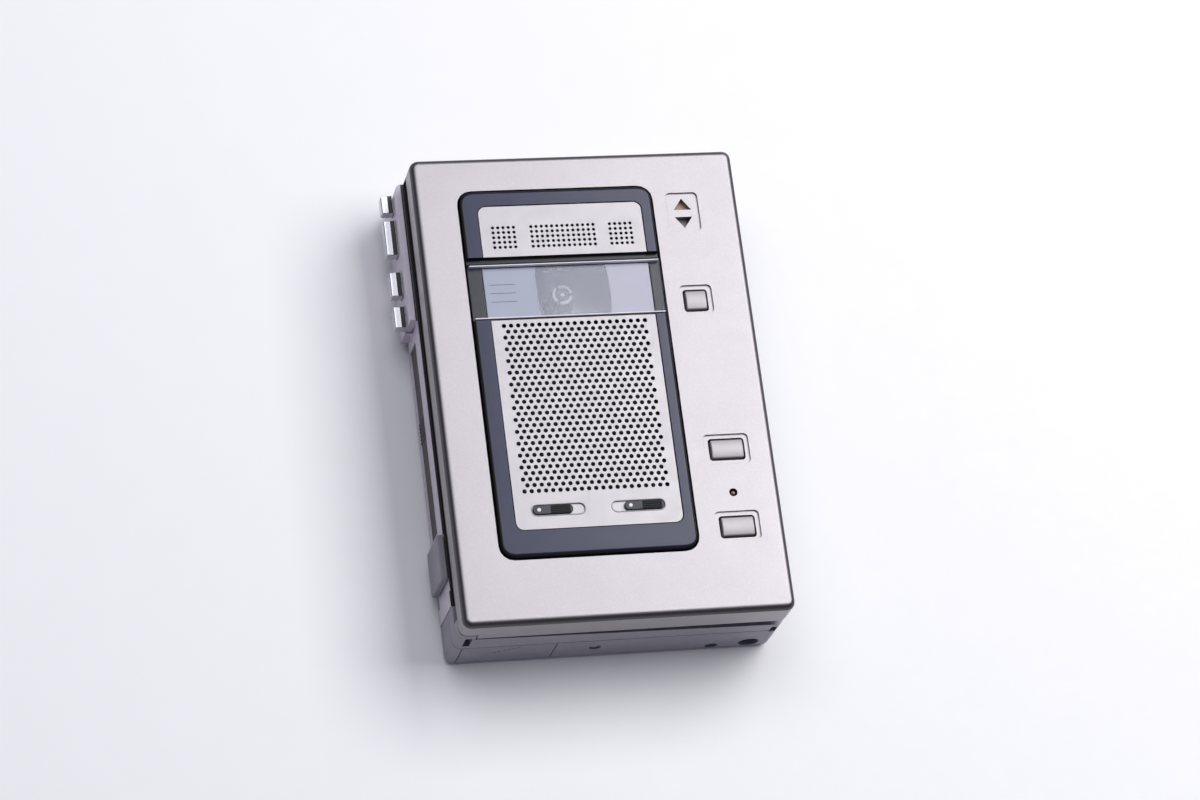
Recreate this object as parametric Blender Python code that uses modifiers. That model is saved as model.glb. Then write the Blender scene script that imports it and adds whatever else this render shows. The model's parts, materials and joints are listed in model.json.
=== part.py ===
"""Portable cassette dictation recorder, lying on its back.

Lengths in this script are millimetres and become metres when a mesh is made. The origin is the
centre of the flat rear face: +X to the right seen from the front, +Y towards the microphones,
+Z out of the front. The front is a lid hinged on the right that covers the cassette well.
"""
import math

import bmesh
import bpy
from mathutils import Matrix, Vector

MM = 0.001
GAP = 0.3

# Body
HALF_WIDTH = 46.3
HALF_HEIGHT = 68.5
FRONT = 34.0
WALL = 1.8
CORNER = 2.4
REAR_ROUND = 2.0
FRONT_ROUND = 1.8
CASE_TOP = 14.35
FRAME_BOTTOM = 14.65
FRAME_TOP = 22.3
FRAME_TOP_RIGHT = 19.4
LID_BOTTOM = 23.1
INNER_X = HALF_WIDTH - WALL
INNER_Y = HALF_HEIGHT - WALL

# Finger gap along the left edge
GRIP_GAP_X = -41.0
GRIP_GAP_TOP = 26.0
GRIP_GAP_BOTTOM = 21.0
FRAME_TAB_TOP = 25.5
FRAME_TAB_Y = 63.5

# Lid hinge, along Y on the right, in the low side of the frame's sloping top
HINGE_X = 45.2
HINGE_Z = 17.4
KNUCKLE_Y = (49.0, -49.0)
KNUCKLE_LENGTH = 6.0
KNUCKLE_RADIUS = 1.5
PIN_RADIUS = 0.5
PIN_BORE = 0.8
PIN_OVERHANG = 2.2

# Raised bezel and what it holds
BEZEL = (-33.7, 21.1, -49.9, 57.7)
BEZEL_CORNER = 3.6
BEZEL_ROUND = 0.9
BEZEL_GROOVE = 0.6
BEZEL_FRONT = 35.1
BEZEL_BACK = 32.2
LEDGE = 34.1
PLATE_X = (-28.9, 17.7)
PLATE_TOP = 34.9
PLATE_THICKNESS = 0.5
MIC_PLATE_Y = (37.8, 53.0)
GRILLE_PLATE_Y = (-42.3, 18.9)
SHADOW_SLOT_Y = (35.9, 37.7)
LENS_Y = (19.3, 35.4)
LENS_BACK = 33.9
LENS_FRONT = 35.6

# Front controls
UPPER_BUTTON = (30.2, 23.0, 6.4, 6.0)
MIDDLE_BUTTON = (33.0, -21.5, 9.6, 5.8)
LOWER_BUTTON = (33.0, -44.1, 9.6, 5.8)
BUTTON_TOP = 34.4
BUTTON_FLANGE = (31.3, 31.9)
RECESS_DEPTH = 0.6
UPPER_RECESS = (25.9, 35.0, 19.1, 27.5)
MIDDLE_RECESS = (26.5, 39.3, -25.9, -17.2)
LOWER_RECESS = (26.8, 39.3, -48.0, -39.7)
LAMP = (33.0, -34.3)
LAMP_HOLE_RADIUS = 1.15
DIRECTION_X = 30.1
DIRECTION_HALF_WIDTH = 4.6
DIRECTION_Y = (43.9, 55.7)
ARROW_HALF_WIDTH = 2.5
UP_ARROW = (54.1, 50.7)
DOWN_ARROW = (45.1, 48.5)
FLAG_HALF_WIDTH = 3.2
FLAG_Y = (50.2, 54.6)
FLAG_Z = (30.9, 31.7)
LEFT_SWITCH = (-24.2, -9.2)
RIGHT_SWITCH = (-1.8, 13.2)
SWITCH_Y = -36.9
SWITCH_SLOT_HEIGHT = 3.2
SWITCH_TRAVEL = 3.2

# Left side panel, transport keys and lid release
PANEL_FACE = -46.5
PANEL_BACK = -45.6
PANEL_POCKET = -45.3
PANEL_Y = (-58.0, 66.8)
PANEL_Z = (3.2, 21.0)
HOUSING_FACE = -48.6
HOUSING_END = 25.6
KEYS = {"record": (60.7, 66.1), "play": (47.9, 58.5), "wind": (35.4, 42.7), "stop": (25.9, 32.3)}
KEY_Z = (11.3, 14.9)
KEY_OUTER = -52.0
KEY_CAP_BACK = -50.0
KEY_INNER = -42.0
GRIP_Y = (-34.4, 21.8)
GRIP_Z = (3.9, 13.2)
RELEASE_Y = (-50.3, -37.6)
RELEASE_FACE = -48.3
RELEASE_Z = (4.2, 20.7)
RELEASE_TRAVEL = 2.5
FOOT_X = -42.6
FOOT_Y = (-47.1, -41.1)
FOOT_Z = (17.5, 19.0)
HOOK_X = (-43.6, -42.4)
HOOK_Y = (-46.5, -42.0)
HOOK_BOTTOM = 19.6

# Strap slots in the bottom end, as (x0, x1, z0, z1)
STRAP_SLOTS = ((-44.0, -42.0, 16.6, 23.0), (43.0, 45.0, 13.2, 17.5))

# Battery bay and door, lower left of the rear
BAY_X = (-44.3, -14.7)
BAY_Y = (-66.9, -11.0)
BAY_FLOOR = 1.5
BAY_RIB = 1.0
DOOR_X = (-43.3, -17.0)
DOOR_THICKNESS = 1.4
DOOR_END = -14.0
DOOR_DOTS = (-33.6, 9.2, 1.25, 0.72)
CONTACT_X = (-42.5, -31.5)
CONTACT_Z = (4.0, 13.5)
CONTACT_THICKNESS = 0.5
SPRING_CENTRE = (-22.1, 8.9)
SPRING_TURNS = 2.5
SPRING_RADII = (3.6, 2.0)
SPRING_PITCH = 1.5
SPRING_WIRE = 0.35

# Tape deck
DECK_Z = (16.3, 17.3)
LINER_X = (-41.5, 43.4)
LINER_Z = (17.6, 25.0)
LINER_WALL = 0.8
SPINDLE_X = -5.6
SPINDLE_Y = (29.7, -12.8)
REEL_DISC_RADIUS = 7.5
CAPSTAN_X = 24.5
CAPSTAN_Y = (28.5, -11.5)
FLYWHEEL_RADIUS = 12.0
FLYWHEEL_Z = (11.3, 15.3)
MOTOR = (2.0, -38.0)
MOTOR_RADIUS = 10.4
PULLEY_RADIUS = 2.2
BELT_Z = 13.6
BELT_RADIUS = 0.45

# Head carriage, which slides towards the capstans when play is pressed
CARRIAGE_X = (29.6, 41.0)
CARRIAGE_HALF_LENGTH = 30.0
CARRIAGE_Z = (17.7, 18.7)
ROLLER_X = 34.0
ROLLER_RADIUS = 4.5
ROLLER_BORE = 1.3
ROLLER_Z = (19.2, 26.6)
POST_RADIUS = 0.9
POST_TOP = 27.2
HEAD_X = (29.6, 37.0)
HEAD_HALF_LENGTH = 6.5
HEAD_TOP = 27.0

# Speaker, sockets, volume wheel and screws
SPEAKER = (-5.5, -7.0)
EARPHONE = (28.9, 3.5)
EARPHONE_HOLE_RADIUS = 1.85
POWER = (39.35, 4.85)
POWER_HOLE_RADIUS = 2.95
SOCKET_END = -54.5
SOCKET_PIN_RADIUS = 0.8
CIRCUIT_BOARD = (13.5, 44.0, -66.1, -27.0, 9.6, 10.8)
LID_BOARD = (24.6, 42.5, -52.0, 42.0, 29.4, 30.1)
MICROPHONE_X = (-22.3, 11.0)
MICROPHONE_Y = 43.6
MICROPHONE_RADIUS = 3.0
MICROPHONE_Z = (30.4, 33.6)
WHEEL = (39.8, 50.0, 8.0)
WHEEL_Z = (8.0, 11.0)
CASE_SCREWS = ((40.0, 61.5), (-40.0, 61.5), (40.0, -48.0), (-10.0, -60.0))
SCREW_HEAD_RADIUS = 2.5
SCREW_SHANK_RADIUS = 1.0
SCREW_END = 9.0
END_SCREW = (-5.3, 8.5)
END_SCREW_TIP = -60.0

COLOURS = {
    "silver_paint": ((0.62, 0.60, 0.63), 0.38, 0.35),
    "case_grey": ((0.30, 0.29, 0.33), 0.45, 0.2),
    "bezel_grey": ((0.075, 0.08, 0.125), 0.42, 0.0),
    "aluminium": ((0.72, 0.70, 0.72), 0.34, 0.9),
    "black_plastic": ((0.012, 0.012, 0.014), 0.45, 0.0),
    "dark_grip": ((0.07, 0.065, 0.065), 0.6, 0.0),
    "chrome": ((0.78, 0.78, 0.80), 0.16, 1.0),
    "steel": ((0.45, 0.45, 0.47), 0.32, 1.0),
    "brass": ((0.60, 0.42, 0.16), 0.3, 1.0),
    "rubber": ((0.02, 0.02, 0.02), 0.8, 0.0),
    "clear": ((0.80, 0.86, 0.92), 0.05, 0.0),
    "white_plastic": ((0.75, 0.75, 0.74), 0.4, 0.0),
    "card": ((0.42, 0.46, 0.54), 0.5, 0.0),
    "orange": ((0.75, 0.22, 0.05), 0.5, 0.0),
    "red_lamp": ((0.25, 0.02, 0.02), 0.15, 0.0),
    "board_green": ((0.05, 0.16, 0.07), 0.5, 0.0),
    "paper": ((0.08, 0.08, 0.08), 0.8, 0.0),
    "button_grey": ((0.46, 0.44, 0.44), 0.4, 0.1),
}


def clear_scene():
    for item in list(bpy.data.objects):
        bpy.data.objects.remove(item, do_unlink=True)


def make_collection(name):
    group = bpy.data.collections.new(name)
    bpy.context.scene.collection.children.link(group)
    return group


def make_materials():
    made = {}
    for name, (colour, roughness, metallic) in COLOURS.items():
        material = bpy.data.materials.new(name)
        material.use_nodes = True
        shader = material.node_tree.nodes["Principled BSDF"]
        shader.inputs["Base Color"].default_value = (*colour, 1.0)
        shader.inputs["Roughness"].default_value = roughness
        shader.inputs["Metallic"].default_value = metallic
        made[name] = material
    return made


clear_scene()
PARTS = make_collection("cassette_dictation_recorder")
CUTTERS = make_collection("cutters")
MATERIALS = make_materials()


# ---------------------------------------------------------------- shapes

def mesh_object(name, shape, collection=None):
    """Turn a bmesh drawn in millimetres into an object."""
    bmesh.ops.scale(shape, vec=(MM, MM, MM), verts=shape.verts)
    bmesh.ops.recalc_face_normals(shape, faces=shape.faces)
    mesh = bpy.data.meshes.new(name)
    shape.to_mesh(mesh)
    shape.free()
    made = bpy.data.objects.new(name, mesh)
    (collection or CUTTERS).objects.link(made)
    return made


def rounded_rect(x0, x1, y0, y1, radius, steps=4):
    corners = ((x1 - radius, y1 - radius, 0), (x0 + radius, y1 - radius, 90),
               (x0 + radius, y0 + radius, 180), (x1 - radius, y0 + radius, 270))
    points = []
    for x, y, start in corners:
        for step in range(steps + 1):
            angle = math.radians(start + 90 * step / steps)
            points.append((x + radius * math.cos(angle), y + radius * math.sin(angle)))
    return points


def plate_outline(x0, x1, y0, y1, radius, end):
    """An outline rounded only at its +Y end, where end is 1, or at its -Y end, where it is -1."""
    middle = (y0 + y1) / 2
    points = [point for point in rounded_rect(x0, x1, y0, y1, radius) if (point[1] - middle) * end > 0]
    return points + ([(x0, y0), (x1, y0)] if end > 0 else [(x1, y1), (x0, y1)])


def prism_shape(outline, low, high, along="Z"):
    """Extrude a closed outline. Along Z it is (x, y), along X it is (y, z), along Y it is (x, z)."""
    place = {"Z": lambda u, v: (u, v, low), "X": lambda u, v: (low, u, v), "Y": lambda u, v: (u, low, v)}
    step = {"Z": (0, 0, high - low), "X": (high - low, 0, 0), "Y": (0, high - low, 0)}
    shape = bmesh.new()
    base = shape.faces.new([shape.verts.new(place[along](u, v)) for u, v in outline])
    risen = bmesh.ops.extrude_face_region(shape, geom=[base], use_keep_orig=True)["geom"]
    moved = [item for item in risen if isinstance(item, bmesh.types.BMVert)]
    bmesh.ops.translate(shape, vec=step[along], verts=moved)
    return shape


def round_edges(shape, chosen, width, segments):
    edges = [edge for edge in shape.edges if all(chosen(vert.co) for vert in edge.verts)]
    bmesh.ops.bevel(shape, geom=edges, offset=width, segments=segments, profile=0.5,
                    affect="EDGES", clamp_overlap=True)


def box_shape(x0, x1, y0, y1, z0, z1):
    shape = bmesh.new()
    bmesh.ops.create_cube(shape, size=1.0)
    bmesh.ops.scale(shape, vec=(x1 - x0, y1 - y0, z1 - z0), verts=shape.verts)
    bmesh.ops.translate(shape, vec=((x0 + x1) / 2, (y0 + y1) / 2, (z0 + z1) / 2), verts=shape.verts)
    return shape


def rod_shape(centre, radius, low, high, along="Z", sides=16):
    """A cylinder along an axis; centre is its place on the other two axes, in X, Y, Z order."""
    shape = bmesh.new()
    bmesh.ops.create_cone(shape, cap_ends=True, segments=sides, radius1=radius, radius2=radius,
                          depth=high - low)
    middle = (low + high) / 2
    if along == "X":
        bmesh.ops.rotate(shape, matrix=Matrix.Rotation(math.pi / 2, 3, "Y"), verts=shape.verts)
        spot = (middle, *centre)
    elif along == "Y":
        bmesh.ops.rotate(shape, matrix=Matrix.Rotation(math.pi / 2, 3, "X"), verts=shape.verts)
        spot = (centre[0], middle, centre[1])
    else:
        spot = (*centre, middle)
    bmesh.ops.translate(shape, vec=spot, verts=shape.verts)
    return shape


def box(name, *limits):
    return mesh_object(name, box_shape(*limits))


def rod(name, *settings, **more):
    return mesh_object(name, rod_shape(*settings, **more))


def slab(name, outline, low, high, along="Z"):
    return mesh_object(name, prism_shape(outline, low, high, along))


def turned(name, profile, centre, sides=24):
    """A solid of revolution about a line along Z; the profile is (radius, z), outer side downwards.

    A profile that ends where it began makes a ring.
    """
    shape = bmesh.new()
    ring = profile[0] == profile[-1]
    corners = [shape.verts.new((radius, 0.0, z)) for radius, z in profile[:len(profile) - ring]]
    if ring:
        corners.append(corners[0])
    for upper, lower in zip(corners, corners[1:]):
        shape.edges.new((upper, lower))
    bmesh.ops.scale(shape, vec=(MM, MM, MM), verts=shape.verts)
    mesh = bpy.data.meshes.new(name)
    shape.to_mesh(mesh)
    shape.free()
    made = bpy.data.objects.new(name, mesh)
    CUTTERS.objects.link(made)
    made.location = (centre[0] * MM, centre[1] * MM, 0.0)
    spin = made.modifiers.new("turn", "SCREW")
    spin.axis = "Z"
    spin.steps = sides
    spin.render_steps = sides
    spin.use_merge_vertices = True
    spin.merge_threshold = 0.00001
    return made


def combine(target, operation, tools):
    for tool in tools:
        tool.hide_render = True
        tool.display_type = "WIRE"
        change = target.modifiers.new(operation.lower(), "BOOLEAN")
        change.operation = operation
        change.solver = "EXACT"
        change.object = tool


def cut(target, *tools):
    combine(target, "DIFFERENCE", tools)


def join(target, *tools):
    combine(target, "UNION", tools)


def part(made, colour, origin=None, parent=None, smooth=True):
    """File an object as a sub-part: its material, its shading, and its origin in millimetres."""
    CUTTERS.objects.unlink(made)
    PARTS.objects.link(made)
    made.data.materials.append(MATERIALS[colour])
    if smooth:
        made.data.shade_smooth()
        made.data.set_sharp_from_angle(angle=math.radians(35))
    if origin:
        spot = Vector(origin) * MM
        made.data.transform(Matrix.Translation(made.location - spot))
        made.location = spot
    if parent:
        made.parent = parent
        made.matrix_parent_inverse = Matrix.Translation(-parent.location)
    return made


# ---------------------------------------------------------------- body

def body_outline(inset=0.0):
    return rounded_rect(-HALF_WIDTH + inset, HALF_WIDTH - inset, -HALF_HEIGHT + inset,
                        HALF_HEIGHT - inset, CORNER - inset)


def panel_pocket(name, low, high):
    return box(name, -HALF_WIDTH - 1, PANEL_POCKET, PANEL_Y[0] - GAP, PANEL_Y[1] + GAP, low, high)


def key_window(name):
    return box(name, PANEL_POCKET - 1, -INNER_X + 1, KEYS["stop"][0] - 1, KEYS["record"][1] + 0.4,
               KEY_Z[0] - 1, KEY_Z[1] + 1)


def strap_slot(name, slot):
    left, right, low, high = slot
    return box(name, left, right, -HALF_HEIGHT - 1, -INNER_Y + 1, low, high)


def door_profile(grow=0.0):
    """The battery door's L section as (y, z): a leaf under the rear face and a tongue up the end."""
    outer = -HALF_HEIGHT - grow
    inner = -HALF_HEIGHT + DOOR_THICKNESS + grow
    points = [(DOOR_END + grow, -grow), (DOOR_END + grow, DOOR_THICKNESS + grow),
              (inner, DOOR_THICKNESS + grow), (inner, CASE_TOP + grow), (outer, CASE_TOP + grow)]
    for step in range(5):
        angle = math.radians(180 + 90 * step / 4)
        points.append((outer + REAR_ROUND + REAR_ROUND * math.cos(angle),
                       -grow + REAR_ROUND + REAR_ROUND * math.sin(angle)))
    return points


def make_rear_case():
    shape = prism_shape(body_outline(), 0.0, CASE_TOP)
    round_edges(shape, lambda co: co.z < 0.01, REAR_ROUND, 4)
    case = mesh_object("rear_case", shape)
    cut(case,
        box("cavity_right", BAY_X[1] + BAY_RIB, INNER_X, -INNER_Y, INNER_Y, WALL, CASE_TOP + 1),
        box("cavity_upper", -INNER_X, BAY_X[1] + 2 * BAY_RIB, BAY_Y[1] + BAY_RIB, INNER_Y, WALL,
            CASE_TOP + 1),
        box("cavity_bay", *BAY_X, *BAY_Y, BAY_FLOOR, CASE_TOP + 1),
        slab("door_space", door_profile(GAP), DOOR_X[0] - GAP, DOOR_X[1] + GAP, "X"),
        panel_pocket("panel_pocket_low", PANEL_Z[0] - GAP, CASE_TOP + 1),
        key_window("key_window_low"),
        rod("earphone_hole", EARPHONE, EARPHONE_HOLE_RADIUS, -HALF_HEIGHT - 1,
            -INNER_Y + 1, "Y"),
        rod("power_hole", POWER, POWER_HOLE_RADIUS, -HALF_HEIGHT - 1, -INNER_Y + 1, "Y"),
        rod("end_screw_seat", END_SCREW, 1.7, -HALF_HEIGHT - 1, -HALF_HEIGHT + 0.9, "Y"),
        rod("end_screw_hole", END_SCREW, 1.2, -HALF_HEIGHT, -INNER_Y + 1, "Y", 10),
        box("wheel_slot", INNER_X - 1, HALF_WIDTH + 1, WHEEL[1] - 6.6, WHEEL[1] + 6.6,
            WHEEL_Z[0] - GAP, WHEEL_Z[1] + GAP),
        strap_slot("right_strap_slot_low", STRAP_SLOTS[1]))
    for number, spot in enumerate(CASE_SCREWS, 1):
        cut(case, rod(f"screw_seat_{number}", spot, SCREW_HEAD_RADIUS + 0.4, -1.0, 1.1),
            rod(f"screw_hole_{number}", spot, SCREW_SHANK_RADIUS + 0.4, 0.0, WALL + 1, sides=10))
    part(case, "case_grey")


def make_mid_frame():
    shape = prism_shape(body_outline(), FRAME_BOTTOM, FRAME_TAB_TOP)
    frame = mesh_object("mid_frame", shape)
    left, right = GRIP_GAP_X - GAP, HALF_WIDTH + 1
    cut(frame,
        slab("frame_inside", rounded_rect(-INNER_X, INNER_X, -INNER_Y, INNER_Y, CORNER - WALL),
             FRAME_BOTTOM - 1, FRAME_TAB_TOP + 1),
        slab("frame_top_cut", ((left, FRAME_TOP), (right, FRAME_TOP_RIGHT), (right, FRAME_TAB_TOP + 1),
                               (left, FRAME_TAB_TOP + 1)), -HALF_HEIGHT - 1, HALF_HEIGHT + 1, "Y"),
        box("grip_gap_cut", -HALF_WIDTH - 1, GRIP_GAP_X, -FRAME_TAB_Y, FRAME_TAB_Y,
            GRIP_GAP_BOTTOM, FRAME_TAB_TOP + 1),
        panel_pocket("panel_pocket_high", FRAME_BOTTOM - 1, FRAME_TAB_TOP),
        key_window("key_window_high"),
        box("release_window", PANEL_POCKET - 1, -INNER_X + 1, FOOT_Y[0] - RELEASE_TRAVEL - 0.6,
            FOOT_Y[1] + 0.7, FOOT_Z[0] - 0.6, FOOT_Z[1] + 0.6),
        strap_slot("left_strap_slot", STRAP_SLOTS[0]),
        strap_slot("right_strap_slot_high", STRAP_SLOTS[1]))
    for number, middle in enumerate(KNUCKLE_Y, 1):
        half = KNUCKLE_LENGTH / 2
        cut(frame,
            box(f"knuckle_notch_{number}", INNER_X - 1, HALF_WIDTH + 1, middle - half - GAP,
                middle + half + GAP, HINGE_Z - 2.0, FRAME_TAB_TOP),
            rod(f"pin_hole_{number}", (HINGE_X, HINGE_Z), PIN_BORE, middle - half - PIN_OVERHANG - 0.4,
                middle + half + PIN_OVERHANG + 0.4, "Y", 8))
    part(frame, "case_grey")


def make_finger_rail():
    """The dark ribbed rail at the bottom of the finger gap between lid and frame."""
    side = -HALF_WIDTH + 0.9
    profile = ((side, GRIP_GAP_BOTTOM + GAP), (side, 22.9), (side - 0.5, 23.1), (side - 0.5, 24.1),
               (side, 24.3), (side, 25.6), (side + 1.1, 25.6), (side + 1.1, GRIP_GAP_BOTTOM + GAP))
    rail = slab("finger_rail", profile, -FRAME_TAB_Y + GAP, FRAME_TAB_Y - GAP, "Y")
    part(rail, "black_plastic")


def make_side_panel():
    recess = PANEL_FACE + 0.3
    slide_low, slide_high = RELEASE_Y[0] - RELEASE_TRAVEL - 1.0, RELEASE_Y[1] + GAP
    profile = ((PANEL_BACK, PANEL_Y[0]), (PANEL_BACK, PANEL_Y[1]), (HOUSING_FACE + 1.2, PANEL_Y[1]),
               (HOUSING_FACE + 0.35, PANEL_Y[1] - 0.6), (HOUSING_FACE, PANEL_Y[1] - 2.0),
               (HOUSING_FACE, HOUSING_END), (PANEL_FACE, HOUSING_END), (PANEL_FACE, slide_high),
               (recess, slide_high), (recess, slide_low), (PANEL_FACE, slide_low),
               (PANEL_FACE, PANEL_Y[0]))
    panel = slab("side_panel", profile, *PANEL_Z)
    cut(panel,
        box("grip_opening", PANEL_FACE - 1, PANEL_BACK + 1, GRIP_Y[0] - GAP, GRIP_Y[1] + GAP,
            GRIP_Z[0] - GAP, GRIP_Z[1] + GAP),
        box("release_slot", PANEL_FACE - 1, PANEL_BACK + 1, FOOT_Y[0] - RELEASE_TRAVEL - GAP,
            FOOT_Y[1] + 0.4, FOOT_Z[0] - GAP, FOOT_Z[1] + GAP))
    for name, (low, high) in KEYS.items():
        cut(panel, box(f"{name}_key_slot", HOUSING_FACE - 1, PANEL_BACK + 1, low - GAP, high + GAP,
                       KEY_Z[0] - GAP, KEY_Z[1] + GAP))
    part(panel, "case_grey")


def make_side_grip():
    """A thin dark strip with a patch of fine cross ribs."""
    back, face, rib_face = PANEL_POCKET - GAP, -46.0, -46.25
    profile = [(back, GRIP_Y[0]), (back, GRIP_Y[1]), (face, GRIP_Y[1])]
    ribs, pitch, middle, rib_width, flank = 6, 1.1, -2.5, 0.6, 0.1
    for index in range(ribs):
        top = middle + pitch * (ribs / 2 - index)
        end = top - rib_width
        profile += [(face, top), (rib_face, top - flank), (rib_face, end + flank), (face, end)]
    profile.append((face, GRIP_Y[0]))
    part(slab("side_grip", profile, *GRIP_Z), "dark_grip", smooth=False)


def make_keys():
    inset = 0.25
    for name, (low, high) in KEYS.items():
        stem = box(f"{name}_key", KEY_CAP_BACK + GAP, KEY_INNER, low + inset, high - inset,
                   KEY_Z[0] + inset, KEY_Z[1] - inset)
        part(stem, "black_plastic", origin=(KEY_INNER, (low + high) / 2, sum(KEY_Z) / 2))
        shape = box_shape(KEY_OUTER, KEY_CAP_BACK, low, high, *KEY_Z)
        round_edges(shape, lambda co: co.x < KEY_OUTER + 0.01, 0.7, 2)
        part(mesh_object(f"{name}_key_cap", shape), "chrome",
             origin=(KEY_INNER, (low + high) / 2, sum(KEY_Z) / 2))


def make_lid_release():
    low, high = RELEASE_Y
    shape = box_shape(RELEASE_FACE, PANEL_FACE, low, high, *RELEASE_Z)
    round_edges(shape, lambda co: co.x < RELEASE_FACE + 0.01, 0.5, 2)
    slide = mesh_object("lid_release", shape)
    join(slide, box("release_foot", PANEL_FACE - 0.5, FOOT_X, *FOOT_Y, *FOOT_Z))
    part(slide, "case_grey", origin=(PANEL_FACE, (low + high) / 2, sum(FOOT_Z) / 2))


def make_battery_door():
    door = slab("battery_door", door_profile(), *DOOR_X, "X")
    x, z, step_x, step_z = DOOR_DOTS
    dots = [rod(f"door_dot_{number}", (x + step_x * number, z + step_z * number), 0.35,
                -HALF_HEIGHT - 1, -HALF_HEIGHT + 0.4, "Y", 6) for number in range(6)]
    cut(door, *dots)
    part(door, "case_grey", origin=(sum(DOOR_X) / 2, -HALF_HEIGHT, 0.0))


def make_battery_contacts():
    wall = BAY_Y[1] - GAP
    part(box("battery_contact", *CONTACT_X, wall - CONTACT_THICKNESS, wall, *CONTACT_Z), "steel")
    x, z = SPRING_CENTRE
    wide, narrow = SPRING_RADII
    steps = 12
    points = []
    for step in range(int(SPRING_TURNS * steps) + 1):
        angle = math.tau * step / steps
        radius = wide + (narrow - wide) * step / (SPRING_TURNS * steps)
        points.append((x + radius * math.cos(angle), wall - SPRING_WIRE - SPRING_PITCH * step / steps,
                       z + radius * math.sin(angle)))
    wire("battery_spring", points, SPRING_WIRE, "steel", closed=False)


def wire(name, points, radius, colour, closed):
    curve = bpy.data.curves.new(name, "CURVE")
    curve.dimensions = "3D"
    curve.bevel_depth = radius * MM
    curve.bevel_resolution = 2
    curve.use_fill_caps = not closed
    line = curve.splines.new("POLY")
    line.points.add(len(points) - 1)
    for knot, (x, y, z) in zip(line.points, points):
        knot.co = (x * MM, y * MM, z * MM, 1.0)
    line.use_cyclic_u = closed
    made = bpy.data.objects.new(name, curve)
    PARTS.objects.link(made)
    curve.materials.append(MATERIALS[colour])


# ---------------------------------------------------------------- deck

def make_deck_plate():
    outline = rounded_rect(-INNER_X + GAP, INNER_X - GAP, -INNER_Y + GAP, INNER_Y - GAP, 1.2)
    deck = slab("deck_plate", outline, *DECK_Z)
    for number, y in enumerate(SPINDLE_Y, 1):
        cut(deck, rod(f"spindle_hole_{number}", (SPINDLE_X, y), 4.4, DECK_Z[0] - 1, DECK_Z[1] + 1))
    for number, y in enumerate(CAPSTAN_Y, 1):
        cut(deck, rod(f"capstan_hole_{number}", (CAPSTAN_X, y), 1.8, DECK_Z[0] - 1, DECK_Z[1] + 1))
    for number, side in enumerate((-1, 1), 1):
        cut(deck, box(f"deck_corner_{number}", *sorted((side * 41.5, side * (INNER_X + 1))),
                      -INNER_Y - 1, -INNER_Y + 3, DECK_Z[0] - 1, DECK_Z[1] + 1))
    for number, middle in enumerate(KNUCKLE_Y, 1):
        half = KNUCKLE_LENGTH / 2 + GAP
        cut(deck, box(f"deck_notch_{number}", HINGE_X - KNUCKLE_RADIUS - 0.4, INNER_X + 1,
                      middle - half, middle + half, DECK_Z[0] - 1, DECK_Z[1] + 1))
    part(deck, "steel")


def make_well_liner():
    """A dark wall round three sides of the cassette well, seen through the seam under the lid."""
    left, right = LINER_X
    reach = INNER_Y - GAP
    liner = box("well_liner", left, right, -reach, reach, *LINER_Z)
    cut(liner, box("liner_inside", left - 1, right - LINER_WALL, -reach + LINER_WALL, reach - LINER_WALL,
                   LINER_Z[0] - 1, LINER_Z[1] + 1))
    part(liner, "black_plastic")


def make_spindles():
    for name, y in zip(("upper", "lower"), SPINDLE_Y):
        profile = ((0.0, 25.5), (1.3, 25.2), (1.9, 24.4), (1.9, 20.0), (3.2, 20.0), (3.2, 15.6),
                   (REEL_DISC_RADIUS, 15.6), (REEL_DISC_RADIUS, 12.4), (2.0, 12.4), (2.0, 9.5),
                   (0.0, 9.5))
        spindle = turned(f"{name}_spindle", profile, (SPINDLE_X, y))
        for turn in range(3):
            shape = box_shape(0.5, 2.85, -0.45, 0.45, 19.5, 24.0)
            bmesh.ops.rotate(shape, matrix=Matrix.Rotation(math.tau * turn / 3, 3, "Z"),
                             verts=shape.verts)
            bmesh.ops.translate(shape, vec=(SPINDLE_X, y, 0.0), verts=shape.verts)
            join(spindle, mesh_object(f"{name}_fin_{turn}", shape))
        part(spindle, "white_plastic")


def make_flywheels():
    low, high = FLYWHEEL_Z
    rim = FLYWHEEL_RADIUS
    for name, y in zip(("upper", "lower"), CAPSTAN_Y):
        profile = ((0.0, 27.5), (1.0, 27.3), (1.0, high + 0.6), (3.0, high + 0.6), (3.0, high - 1.0),
                   (rim - 2, high - 1.0), (rim - 2, high), (rim, high), (rim, low), (3.0, low),
                   (3.0, low - 2.5), (0.0, low - 2.5))
        part(turned(f"{name}_flywheel", profile, (CAPSTAN_X, y)), "brass")


def make_motor():
    motor = turned("motor", ((0.0, 12.2), (3.0, 12.2), (3.0, 11.4), (MOTOR_RADIUS - 1, 11.4),
                             (MOTOR_RADIUS, 10.6), (MOTOR_RADIUS, 2.3), (0.0, 2.3)), MOTOR)
    part(motor, "steel")
    groove = ((0.0, 15.4), (PULLEY_RADIUS + 0.6, 15.4), (PULLEY_RADIUS + 0.6, 14.7),
              (PULLEY_RADIUS, 14.4), (PULLEY_RADIUS, 12.9), (0.0, 12.9))
    part(turned("motor_pulley", groove, MOTOR, 16), "brass")


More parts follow.
